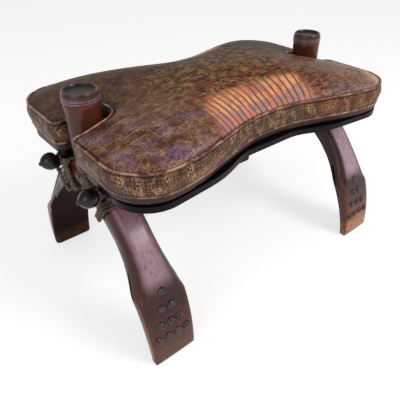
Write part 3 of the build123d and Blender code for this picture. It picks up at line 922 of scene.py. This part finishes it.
class STOOL_OT_studs(bpy.types.Operator):
    """Drives ten hammered domed studs into each foot"""

    bl_idname = "stool.studs"
    bl_label = "Studs"

    def execute(self, context):
        finish = stud_finish("pewter_studs")
        dome, faces = turned(STUD_OUTLINE, 14)
        for number, (name, end, side) in enumerate(SIDES):
            rng = np.random.default_rng(40 + number)
            points, all_faces = [], []
            for row in range(STUD_ROWS):
                for place in range(row + 1):
                    z = STUD_TOP_Z - STUD_ROW_PITCH * row + rng.uniform(-0.0008, 0.0008)
                    x = (place - row / 2) * STUD_PITCH + rng.uniform(-0.0007, 0.0007)
                    all_faces += moved_faces(faces, len(points))
                    points += [(end * POST_X + a, side * b, c)
                               for a, b, c in self.driven(self.hammered(dome, rng), x, z)]
            piece = make_piece("studs_" + name + "_domed", points, all_faces, "frame", finish)
            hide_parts("studs_" + name)
        return {"FINISHED"}

    def hammered(self, dome, rng):
        """A dome with a few flats beaten into it."""
        dome = dome.copy()
        for _ in range(HAMMER_BLOWS):
            flat = Vector((rng.uniform(-1, 1), rng.uniform(-1, 1), rng.uniform(0.8, 1.8)))
            flat = np.array(flat.normalized())
            over = dome @ flat - rng.uniform(0.0052, 0.0062)
            dome -= np.clip(over, 0, None)[:, None] * flat * 0.8
        return dome

    def driven(self, dome, x, z):
        """A dome set on the outer bow, square to it."""
        y = bow_y(OUTER_BOW, FOOT_Y, z)
        tilt = math.atan2(z - OUTER_BOW[1], y - OUTER_BOW_Y)
        out = np.array((0, math.cos(tilt), math.sin(tilt)))
        up = np.array((0, -math.sin(tilt), math.cos(tilt)))
        return dome[:, :1] * (1, 0, 0) + dome[:, 1:2] * up + dome[:, 2:] * out + (x, y, z)


class STOOL_OT_posts(bpy.types.Operator):
    """Turns the two posts, with fine grooves under a bevelled and dished top"""

    bl_idname = "stool.posts"
    bl_label = "Posts"

    def execute(self, context):
        finish = wood_finish("turned_post_wood", context.scene.stool_wood, 0.62, (7.0, 7.0, 1.2))
        profile = [(0.0001, POST_FOOT_Z), (TENON_RADIUS, POST_FOOT_Z), (TENON_RADIUS, POST_SEAT_Z),
                   (POST_RADIUS, POST_SEAT_Z), (0.0270, POST_SEAT_Z + 0.004),
                   (0.0266, POST_SEAT_Z + 0.05)]
        profile += [(radius, POST_TOP_Z - drop) for radius, drop in POST_CAP]
        points, faces = turned(profile, POST_STEPS, 0.0006, 3)
        reach = np.repeat([radius for radius, _ in profile], POST_STEPS)
        under = POST_TOP_Z - points[:, 2]
        crest = (reach > 0.0279) * (under < 0.02) * (under > 0.004)
        rim = (reach > 0.0236) * (under < 0.0012)
        marks = {
            # Painted highlights on the bead crests and on the rim of the cap
            "painted_wax_sheen": 0.6 * crest + 0.3 * rim,
            "edge_wear": 0.25 * eased(0.07, 0.02, under) * (under > 0.018),
            # Darker all over, and darker towards the bottom
            "dark_stain_and_shade": 0.28 + 0.35 * eased(0.04, 0.085, under),
            "disc": (reach < 0.0234) * (under < 0.006) * 0.95,
        }
        for name, end in (("left", -1), ("right", 1)):
            placed = points + (end * POST_X, 0, 0)
            piece = make_piece(f"post_{name}_turned", placed, faces, "frame", finish)
            for mark, values in marks.items():
                mark_points(piece.data, mark, values)
            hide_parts(f"post_{name}")
        return {"FINISHED"}


class STOOL_OT_rails(bpy.types.Operator):
    """Turns the two rails with their acorn ends"""

    bl_idname = "stool.rails"
    bl_label = "Rails"

    def execute(self, context):
        finish = wood_finish("rail_wood", context.scene.stool_wood, 0.5, (1.4, 9.0, 9.0),
                             dull=(0.10, 0.22))
        half = [(RAIL_RADIUS, 0.05)]
        half += [(radius, RAIL_END_X - gap) for radius, gap in RAIL_ACORN]
        profile = [(radius, -x) for radius, x in reversed(half)] + half
        points, faces = turned(profile, RAIL_STEPS, 0.0012, 8)
        for name, side in (("front", -1), ("back", 1)):
            laid = points[:, ::-1] + (0, side * RAIL_Y, RAIL_Z)
            piece = make_piece(f"rail_{name}_turned", laid, faces, "frame", finish)
            dark_knobs = eased(RAIL_END_X - 0.045, RAIL_END_X - 0.036, np.abs(laid[:, 0]))
            mark_points(piece.data, "dark_stain_and_shade", 0.95 * dark_knobs)
            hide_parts(f"rail_{name}")
        return {"FINISHED"}


class LegHead:
    """The head of a leg where the rail lies on it, in Y and Z away from the middle plane."""

    def __init__(self):
        self.outer = np.array((OUTER_BOW_Y, OUTER_BOW[1]))
        foot_y = FOOT_Y - FOOT_THICKNESS
        inner_y = foot_y - math.sqrt(INNER_BOW[0] ** 2 - INNER_BOW[1] ** 2)
        self.inner = np.array((inner_y, INNER_BOW[1]))
        out = unit(np.array((RAIL_Y, RAIL_Z)) - self.outer)
        self.down = np.array((out[1], -out[0]))
        self.seat = self.outer + out * OUTER_BOW[0]

    def spot(self, x, along, level):
        """A place beside the rail: above the outer face, or below the inner one if negative."""
        ray = unit(self.seat + self.down * along - self.outer)
        place = self.outer + ray * OUTER_BOW[0]
        if level < 0:
            place = place - ray * (np.hypot(*(place - self.inner)) - INNER_BOW[0])
        place = place + ray * level
        return x, place[0], place[1]


def lashing_route(cord_radius):
    """Points of the cord's way round a leg head and over the rail."""
    spot = LegHead().spot
    lie = cord_radius + CORD_ROOM
    side_x = LASHED_HALF_WIDTH + lie
    near = LASHED_RAIL_RADIUS + lie
    pitch = 2 * cord_radius + CORD_PITCH_ROOM
    over = LASHED_RAIL_RADIUS * 2 + lie + CORD_ROOM
    runs = [(-near - pitch * k,) * 2 for k in range(POST_SIDE_TURNS, 0, -1)] + [(-near, near)]
    runs += [(near + pitch * k,) * 2 for k in range(1, FOOT_SIDE_TURNS + 1)]
    route = []
    for (start, end), following in zip(runs, runs[1:] + [None]):
        route += [spot(-side_x, start, -lie * 0.4), spot(-side_x, start, lie * 0.2)]
        if start == end:
            route += [spot(-side_x * 0.86, start, lie), spot(0, start, lie),
                      spot(side_x * 0.86, end, lie)]
        else:
            route += [spot(-side_x * 0.72, start, lie * 1.1),
                      spot(-side_x * 0.42, start * 0.62, over * 0.94), spot(0, 0, over * 1.03),
                      spot(side_x * 0.42, end * 0.62, over * 0.94),
                      spot(side_x * 0.72, end, lie * 1.1)]
        route += [spot(side_x, end, lie * 0.2), spot(side_x, end, -lie * 0.4)]
        if following:
            route += [spot(side_x * 0.8, end, -lie), spot(0, (end + following[0]) / 2, -lie),
                      spot(-side_x * 0.8, following[0], -lie)]
    return np.array(route)


def smooth_run(route, spacing):
    """Evenly spaced points along a smooth line through a route, and its length."""
    padded = np.vstack([2 * route[0] - route[1], route, 2 * route[-1] - route[-2]])
    points = []
    for a, b, c, d in zip(padded[:-3], padded[1:-2], padded[2:-1], padded[3:]):
        for t in np.linspace(0, 1, 14, endpoint=False):
            points.append(0.5 * (2 * b + (c - a) * t + (2 * a - 5 * b + 4 * c - d) * t * t
                                 + (3 * b - a - 3 * c + d) * t**3))
    points = np.array([*points, route[-1]])
    steps = np.r_[0, np.cumsum(np.linalg.norm(np.diff(points, axis=0), axis=1))]
    at = np.linspace(0, steps[-1], int(steps[-1] / spacing))
    return np.c_[[np.interp(at, steps, axis) for axis in points.T]].T, steps[-1]


def frames_along(line):
    """Two directions across a line at each of its points, turned as little as possible."""
    tangents = unit(np.gradient(line, axis=0))
    first = unit(np.cross(tangents[0], (0.3, 0.5, 0.8)))
    across = []
    for tangent in tangents:
        first = unit(first - tangent * (first @ tangent))
        across.append(first)
    across = np.array(across)
    return across, np.cross(tangents, across)


class STOOL_OT_lashings(bpy.types.Operator):
    """Winds a twisted cord round each leg head and over its rail"""

    bl_idname = "stool.lashings"
    bl_label = "Lashings"

    def execute(self, context):
        cord = context.scene.stool_cord
        radius = cord.cord_diameter / 2
        line, length = smooth_run(lashing_route(radius), CORD_STEP)
        first, second = frames_along(line)
        twist = np.linspace(0, 2 * math.pi * length / cord.twist_length, len(line))[:, None]
        ply_faces = tube_faces(len(line), PLY_SIDES)
        plies = []
        for start in ring_angles(PLIES):
            swing = np.cos(twist + start) * first + np.sin(twist + start) * second
            centre = line + swing * radius * 0.47
            ply = [centre + radius * 0.56 * (math.cos(a) * first + math.sin(a) * second)
                   for a in ring_angles(PLY_SIDES)]
            plies.append(np.stack(ply, axis=1).reshape(-1, 3))
        points, faces = [], []
        for end in (-1, 1):
            for side in (-1, 1):
                for ply in plies:
                    faces += moved_faces(ply_faces, len(points))
                    points += [(end * (POST_X + x), side * y, z) for x, y, z in ply]
        finish = cord_finish("twisted_cord", cord)
        piece = make_piece("cord_lashings", points, faces, "frame", finish)
        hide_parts("lashings")
        return {"FINISHED"}


class STOOL_OT_board(bpy.types.Operator):
    """Paints the seat board black and rounds its rim, and finishes the hidden dowels"""

    bl_idname = "stool.board"
    bl_label = "Seat board"

    def execute(self, context):
        board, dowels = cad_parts["seat_board"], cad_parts["arch_dowels"]
        dowel_finish = wood_finish("dowel_wood", context.scene.stool_wood, 1.6, (9.0, 1.4, 9.0),
                                   worn=False)
        for node, finish in ((board, board_finish("black_board_paint")), (dowels, dowel_finish)):
            node.data.materials.clear()
            node.data.materials.append(finish)
        rounding = board.modifiers.new("rounded_rim", "BEVEL")
        rounding.width, rounding.segments, rounding.limit_method = 0.0022, 3, "ANGLE"
        rounding.angle_limit = math.radians(50)
        return {"FINISHED"}


class SeatZones:
    """The zones of the seat that differ in finish, as a share from 0 to 1 at each point."""

    def __init__(self, spots, outline, whole):
        x, y, z = spots.T
        rim = rim_height(x, y)
        inside = outline.at(spots[:, :2])[0]
        self.edge, self.along = whole.at(spots[:, :2])[:2]
        self.top = (z > rim + 0.0006) & (inside > 0.0005) | (z > rim + 0.004)
        self.tuck = ~self.top & (z < LOW_SEAM_Z)
        self.side = np.abs(x)
        self.lobes = eased(0.085, 0.185, self.side)
        self.right, self.left = eased(0.04, 0.12, x), eased(-0.06, -0.14, x)
        self.front, self.back = eased(0.0, -0.08, y), eased(-0.01, 0.09, y)
        self.ribs = eased(0.124, 0.090, np.abs(x + 0.010)) * eased(0.074, 0.042, self.edge)
        self.tip = eased(0.20, 0.26, x) * eased(0.045, 0.020, self.edge) * eased(0.01, -0.06, y)
        self.slot = eased(0.030, 0.008, slot_distance(x, y)) * eased(0.19, 0.205, self.side)
        self.low_seam = np.where(self.top, 0, eased(0.0040, 0.0022, np.abs(z - LOW_SEAM_Z)))
        self.top_seam = np.where(self.top, eased(0.0052, 0.0030, inside),
                                 eased(0.0048, 0.0026, np.abs(z - TOP_SEAM_Z)))

    def by_part(self, top, tuck, boxing):
        """Values that differ between the top, the tuck and the boxing."""
        return np.where(self.top, top, np.where(self.tuck, tuck, boxing))

    def tints(self):
        """Base colour at each point."""
        def coats(base, layers):
            colour = np.tile(linear(*base), (len(self.top), 1))
            for share, over in layers:
                colour = colour + (np.array(linear(*over)) - colour) * share[:, None]
            return colour

        lit = self.right * self.lobes * self.front
        top = coats((112, 66, 28), (
            # The back of the top is painted darker: painted shade
            (self.back, (62, 40, 24)), (self.front * (1 - self.ribs) * 0.9, (138, 58, 26)),
            (self.lobes * 0.6, (118, 74, 52)), (self.left * self.front * self.lobes, (136, 84, 60)),
            # lit and tip: the front of the right lobe is painted lighter, with a lilac band along
            # its edge and a pale pink tip: painted highlight
            (lit, (188, 126, 98)), (self.ribs, (240, 150, 112)), (self.slot, (96, 72, 64)),
            (lit * eased(0.030, 0.008, self.edge), (178, 142, 150)),
            (self.tip * 0.9, (246, 190, 158))))
        boxing = coats((128, 92, 66), ((self.right, (146, 80, 46)),))
        tuck = np.array(linear(66, 36, 34))
        tints = np.where(self.top[:, None], top, np.where(self.tuck[:, None], tuck, boxing))
        return np.c_[np.clip(tints, 0, 1), np.ones(len(tints))]

    def marks(self):
        """Share of each pattern and sheen at each point."""
        flat = 1 - self.ribs
        cracks = self.lobes * eased(0.10, 0.07, self.edge) * eased(0.002, 0.010, self.edge)
        cracks = cracks * (0.95 - 0.7 * self.right) * (0.12 + 0.88 * self.front)
        cracks = cracks * eased(0.262, 0.235, self.side)
        # violet: violet patches on the front of the lobes, partly a painted sheen
        violet = self.lobes * self.front * eased(0.10, 0.06, self.edge) * (0.7 - 0.5 * self.right)
        rows = self.lobes * (0.25 + 0.45 * self.right) * eased(0.004, 0.012, self.edge)
        gloss = 0.15 + 0.75 * self.ribs + 0.6 * self.lobes * (0.4 + 0.6 * self.front)
        patterns = {
            "ribs": (self.ribs, 0, 0),
            "calm": (flat * (1 - self.lobes) * (1 - self.slot), 0, 0),
            "flecks": (flat * (1 - 0.45 * self.lobes), 0, 0),
            "threads": ((0.80 - 0.35 * self.back) * flat * (1 - 0.6 * self.lobes), 0, 0),
            "violet": (violet + 0.3 * self.slot, 0, 0),
            "wine": (self.lobes * self.front * self.left * 0.85, 0, 0),
            "cracks": (cracks, 0, 0),
            "rows": (rows * (1 - 0.6 * self.tip), 0.0, 0.75),
            "scales": ((0.25 + 0.4 * self.lobes) * flat * (1 - 0.7 * self.tip), 0.25, 0.7),
            # pale_scales: pale gilt with painted glints on the scale edges
            "pale_scales": (self.lobes * (0.08 + 0.26 * self.front), 0.05, 0.7 - 0.3 * self.right),
            "gloss": (np.clip(gloss, 0, 1) * (1 - 0.7 * self.back), 0.45, 0.45),
        }
        marks = {name: self.by_part(*values) for name, values in patterns.items()}
        # Painted shade in the creases beside both seams
        marks["painted_seam_shade"] = 0.85 * np.maximum(self.top_seam, self.low_seam)
        return marks


class STOOL_OT_cushion(bpy.types.Operator):
    """Stuffs the crowned seat, embosses its scales and rubs in the gold and violet"""

    bl_idname = "stool.cushion"
    bl_label = "Cushion"

    def execute(self, context):
        seat = context.scene.stool_seat
        points, faces = prism(rounded_outline(seat_corners(), 0.004), BOARD_TOP, TOP_SEAM_Z)
        leather = Leather("scaled_leather", seat).material
        piece = make_piece("leather_cushion", points, faces, "seat", leather)
        remesh = piece.modifiers.new("even_mesh", "REMESH")
        remesh.mode = "VOXEL"
        remesh.voxel_size = 0.005
        mesh = with_modifiers(piece)
        outline, whole = Outline(seat_corners()), Outline(ring_corners(PAD_PLAN))
        self.shape(mesh, outline, seat)
        inflate(piece, self.seams(coordinates(mesh), outline), seat.puff_limit)
        finer = piece.modifiers.new("finer", "SUBSURF")
        finer.levels = finer.render_levels = 1
        mesh = with_modifiers(piece)
        smooth_all(mesh)
        self.dress(mesh, outline, whole)
        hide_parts("leather_cover", "foam_pad")
        return {"FINISHED"}

    def shape(self, mesh, outline, seat):
        """Draws in the sides between the seams and raises the crown."""
        spots = coordinates(mesh)
        x, y, z = spots.T.copy()
        inside, _, out = outline.at(spots[:, :2])
        in_slot = (np.abs(y) < SLOT_HALF + 0.004) & (np.abs(x) > 0.19)
        tuck = np.interp(z, (BOARD_TOP, BOARD_TOP + 0.006, LOW_SEAM_Z, MIDDLE_SEAM_Z, TOP_SEAM_Z),
                         (0.007, 0.0022, 0.0014, -seat.boxing_bulge, 0.0003))
        tuck = np.where(in_slot, np.minimum(tuck, 0.0015) * 0.6, tuck)
        spots[:, :2] -= out * (tuck * (1 - eased(0.0, 0.024, inside)))[:, None]
        crown = seat.crown_rise * (1 - np.clip(self.plan_share(x, y), 0, 1) ** 3.1)
        settle = 1 - (1 - np.clip(slot_distance(x, y) / 0.048, 0, 1)) ** 2.3
        lifted = np.minimum(crown, slot_rise(x)) * (1 - settle) + crown * settle
        level = np.clip((z - LOW_SEAM_Z) / (TOP_SEAM_Z - LOW_SEAM_Z), 0, 1)
        band = np.where(in_slot, rim_height(x, y) - TOP_SEAM_Z, lifted * (inside > 0.006)) * level
        spots[:, 2] += np.where(z > TOP_SEAM_Z - 0.0026, lifted, band)
        set_coordinates(mesh, spots)

    def plan_share(self, x, y):
        """0 in the middle of the plan and 1 at its edge, on lines from the middle."""
        plan = rounded_outline(ring_corners(PAD_PLAN), 0.002)
        turn = np.arctan2(plan[:, 1], plan[:, 0])
        order = np.argsort(turn)
        reach = np.interp(np.arctan2(y, x), turn[order], np.hypot(*plan[order].T),
                          period=2 * math.pi)
        return np.hypot(x, y) / reach

    def seams(self, spots, outline):
        """Where the leather is held: at the board and along both seams."""
        x, y, z = spots.T
        wall = outline.at(spots[:, :2])[0] < 0.014
        sewn = (np.abs(z - rim_height(x, y)) < 0.004) | (np.abs(z - LOW_SEAM_Z) < 0.003)
        return (z < BOARD_TOP + 0.004) | (wall & sewn)

    def dress(self, mesh, outline, whole):
        """Gives each point its place in the pattern and its colours, and raises the ribs."""
        spots = coordinates(mesh)
        x, y, z = spots.T
        zones = SeatZones(spots, outline, whole)
        wave = 0.004 * np.sin(x * 43 + 1.1) * np.cos(y * 37) + 0.0015 * np.sin(x * 131 + y * 90)
        cells = np.c_[(x + wave) / MIDDLE_CELL[0], (y + wave * 0.8) / MIDDLE_CELL[1], 0 * x]
        edge_place = np.c_[zones.along, zones.edge, np.where(zones.top, zones.edge, z)]
        mark_points(mesh, "middle_cells", cells, "FLOAT_VECTOR")
        mark_points(mesh, "edge_place", edge_place, "FLOAT_VECTOR")
        mark_points(mesh, "tint", zones.tints(), "FLOAT_COLOR")
        for name, values in zones.marks().items():
            mark_points(mesh, name, np.clip(values, 0, 1))
        normals = np.zeros(len(mesh.vertices) * 3)
        mesh.vertices.foreach_get("normal", normals)
        rib = np.abs(np.sin(math.pi * zones.along / RIB_PITCH)) ** 0.5 - 0.6
        ribbed = zones.by_part(zones.ribs * eased(0.002, 0.010, zones.edge), 0, 0)
        lift = ribbed * rib * RIB_HEIGHT
        set_coordinates(mesh, spots + normals.reshape(-1, 3) * lift[:, None])


class STOOL_OT_piping(bpy.types.Operator):
    """Sews the piping along both seams of the seat"""

    bl_idname = "stool.piping"
    bl_label = "Piping"

    def execute(self, context):
        radius = context.scene.stool_seat.piping_radius
        kinds = (("top", 0.0012, linear(140, 78, 56)), ("low", 0.0018, linear(126, 76, 54)))
        for number, (kind, inset, colour) in enumerate(kinds):
            x, y = rounded_outline(seat_corners(inset), 0.0022).T
            top_z = self.evened(rim_height(x, y), 9)
            line = np.c_[x, y, top_z if kind == "top" else np.full(len(x), LOW_SEAM_Z)]
            rng = np.random.default_rng(70 + number)
            lumps = 1 + 0.07 * self.evened(rng.normal(0, 1, len(x)), 5)
            points, ridge, sides = self.sewn(line, radius * lumps)
            piece = make_piece(kind + "_piping", points, tube_faces(len(line), sides, joined=True),
                               "seat", piping_finish(kind + "_piping_leather", colour))
            mark_points(piece.data, "ridge", np.clip(ridge, 0, 1))
            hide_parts(kind + "_welt")
        return {"FINISHED"}

    def sewn(self, line, radius):
        """Points of a round tube along a closed line, and how near each is to its ridge."""
        tangent = unit(np.roll(line, -1, 0) - np.roll(line, 1, 0))
        out = unit(np.cross(tangent, (0, 0, 1)))
        up = np.cross(out, tangent)
        turns = ring_angles(10)
        rings = [line + radius[:, None] * (math.cos(a) * out + math.sin(a) * up) for a in turns]
        # ridge: share of the pale top, strongest on top of the tube: painted highlight
        ridge = np.maximum(0.0, np.sin(turns) * 0.8 + np.abs(np.cos(turns)) * 0.4)
        return np.stack(rings, axis=1).reshape(-1, 3), np.tile(ridge, len(line)), len(turns)

    def evened(self, values, width):
        """Values along a closed seam, each evened out with its neighbours."""
        evened = np.convolve(np.tile(values, 3), np.ones(width) / width, "same")
        return evened[len(values):2 * len(values)]


class STOOL_OT_stitches(bpy.types.Operator):
    """Sews the row of red stitches on the boxing of the near lobe"""

    bl_idname = "stool.stitches"
    bl_label = "Stitches"

    def execute(self, context):
        cushion = bpy.data.objects["leather_cushion"]
        outline = rounded_outline(seat_corners(), OUTLINE_SPACING)
        front = outline[outline[:, 1] < -0.12]
        front = front[np.argsort(front[:, 0])]
        points, faces = [], []
        for number, x in enumerate(np.arange(*STITCHED_X, STITCH_PITCH)):
            faces += moved_faces(tube_faces(STITCH_RINGS, STITCH_SIDES), len(points))
            for step in np.linspace(-1, 1, STITCH_RINGS):
                at = x + step * STITCH_LENGTH / 2
                height = MIDDLE_SEAM_Z + 0.0006 * step * (-1) ** number
                near = (at, float(np.interp(at, *front.T)) - 0.006, height)
                spot, normal = cushion.closest_point_on_mesh(near)[1:3]
                up = normal.cross(Vector((1, 0, 0))).normalized()
                width = STITCH_RADIUS * math.sqrt(max(1 - step**4, 0.04))
                points += [spot + normal * (0.0002 + 0.7 * width * math.cos(a))
                           + up * width * math.sin(a) for a in ring_angles(STITCH_SIDES)]
        piece = make_piece("red_stitches", points, faces, "seat", thread_finish("red_thread"))
        return {"FINISHED"}


class STOOL_OT_stage(bpy.types.Operator):
    """Lays the floor, hangs the lights and sets up the camera of the photograph"""

    bl_idname = "stool.stage"
    bl_label = "Floor, lights and camera"

    def execute(self, context):
        stage, scene = context.scene.stool_stage, context.scene
        scene.view_settings.view_transform = "Standard"
        scene.world = self.pale_room()
        self.floor(scene, tuple(stage.floor_colour))
        self.lamp(scene, "key_light", stage.key_power, *KEY_LAMP)
        self.lamp(scene, "fill_light", stage.fill_power, *FILL_LAMP)
        scene.camera = self.camera(scene)
        return {"FINISHED"}

    def pale_room(self):
        """An even light, which is seen as pale at the horizon and dimmer overhead."""
        world = bpy.data.worlds.new("pale_room")
        world.use_nodes = True
        air = NodeSheet(world.node_tree)
        background = air.nodes["Background"]
        place = air.nodes.new("ShaderNodeTexCoord").outputs["Generated"]
        height = air.node("ShaderNodeSeparateXYZ", {0: place}).outputs[2]
        shown = air.between(height, *ROOM_FADE, *ROOM_SEEN)
        strength = air.node("ShaderNodeMix", {0: air.seen(), 2: ROOM_LIGHT, 3: shown})
        air.put(background.inputs["Strength"], strength.outputs[0])
        air.put(background.inputs["Color"], ROOM_COLOUR)
        return world

    def floor(self, scene, colour):
        """A wide floor just under the feet."""
        mesh = bpy.data.meshes.new("floor")
        corners = [(x * FLOOR_HALF, y * FLOOR_HALF, FLOOR_Z)
                   for x, y in ((-1, -1), (1, -1), (1, 1), (-1, 1))]
        mesh.from_pydata(corners, [], [(0, 1, 2, 3)])
        mesh.materials.append(floor_finish("pale_floor", colour))
        floor = bpy.data.objects.new("floor", mesh)
        scene.collection.objects.link(floor)

    def lamp(self, scene, name, power, place, width, colour):
        """A soft square lamp that points at the stool."""
        light = bpy.data.lights.new(name, "AREA")
        light.shape, light.size, light.size_y = "RECTANGLE", width, width
        light.energy, light.color = power, colour
        lamp = bpy.data.objects.new(name, light)
        lamp.location = place
        way = Vector(LAMP_AIM) - Vector(place)
        lamp.rotation_euler = way.to_track_quat("-Z", "Y").to_euler()
        scene.collection.objects.link(lamp)

    def camera(self, scene):
        """The camera that fits the photograph: angle, roll, distance and principal point."""
        turn, rise, roll = (math.radians(angle) for angle in CAMERA_ANGLES)
        back = Vector((math.sin(turn) * math.cos(rise), -math.cos(turn) * math.cos(rise),
                       math.sin(rise)))
        right = (-back).cross(Vector((0, 0, 1))).normalized()
        up = right.cross(-back)
        across = right * math.cos(roll) + up * math.sin(roll)
        upward = up * math.cos(roll) - right * math.sin(roll)
        data = bpy.data.cameras.new("photo_camera")
        data.sensor_width = 36.0
        data.lens = CAMERA_LENS
        data.shift_x, data.shift_y = CAMERA_SHIFT
        data.clip_start, data.clip_end = 0.05, 60
        camera = bpy.data.objects.new("photo_camera", data)
        place = Vector(CAMERA_AIM) + back * CAMERA_DISTANCE
        turned_to = Matrix((across, upward, back)).transposed().to_4x4()
        camera.matrix_world = Matrix.Translation(place) @ turned_to
        scene.collection.objects.link(camera)
        return camera


SETTINGS = (("stool_seat", SeatSettings), ("stool_wood", WoodSettings),
            ("stool_cord", CordSettings), ("stool_stage", StageSettings))
PIECES = (STOOL_OT_arch_legs, STOOL_OT_studs, STOOL_OT_posts, STOOL_OT_rails, STOOL_OT_lashings,
          STOOL_OT_board, STOOL_OT_cushion, STOOL_OT_piping, STOOL_OT_stitches, STOOL_OT_stage)


class STOOL_PT_panel(bpy.types.Panel):
    """Lists the stool's settings and its pieces"""

    bl_label = "Saddle stool"
    bl_idname = "STOOL_PT_panel"
    bl_space_type = "VIEW_3D"
    bl_region_type = "UI"
    bl_category = "Saddle stool"

    def draw(self, context):
        for name, settings in SETTINGS:
            box = self.layout.box()
            for size in settings.__annotations__:
                box.prop(getattr(context.scene, name), size)
        for piece in PIECES:
            self.layout.operator(piece.bl_idname)


def register():
    for name, settings in SETTINGS:
        bpy.utils.register_class(settings)
        setattr(bpy.types.Scene, name, bpy.props.PointerProperty(type=settings))
    for kind in (*PIECES, STOOL_PT_panel):
        bpy.utils.register_class(kind)


def unregister():
    for kind in reversed((*PIECES, STOOL_PT_panel)):
        bpy.utils.unregister_class(kind)
    for name, settings in reversed(SETTINGS):
        delattr(bpy.types.Scene, name)
        bpy.utils.unregister_class(settings)


def main():
    register()
    bpy.ops.stool.arch_legs()
    bpy.ops.stool.studs()
    bpy.ops.stool.posts()
    bpy.ops.stool.rails()
    bpy.ops.stool.lashings()
    bpy.ops.stool.board()
    bpy.ops.stool.cushion()
    bpy.ops.stool.piping()
    bpy.ops.stool.stitches()
    bpy.ops.stool.stage()


if __name__ == "__main__":
    main()
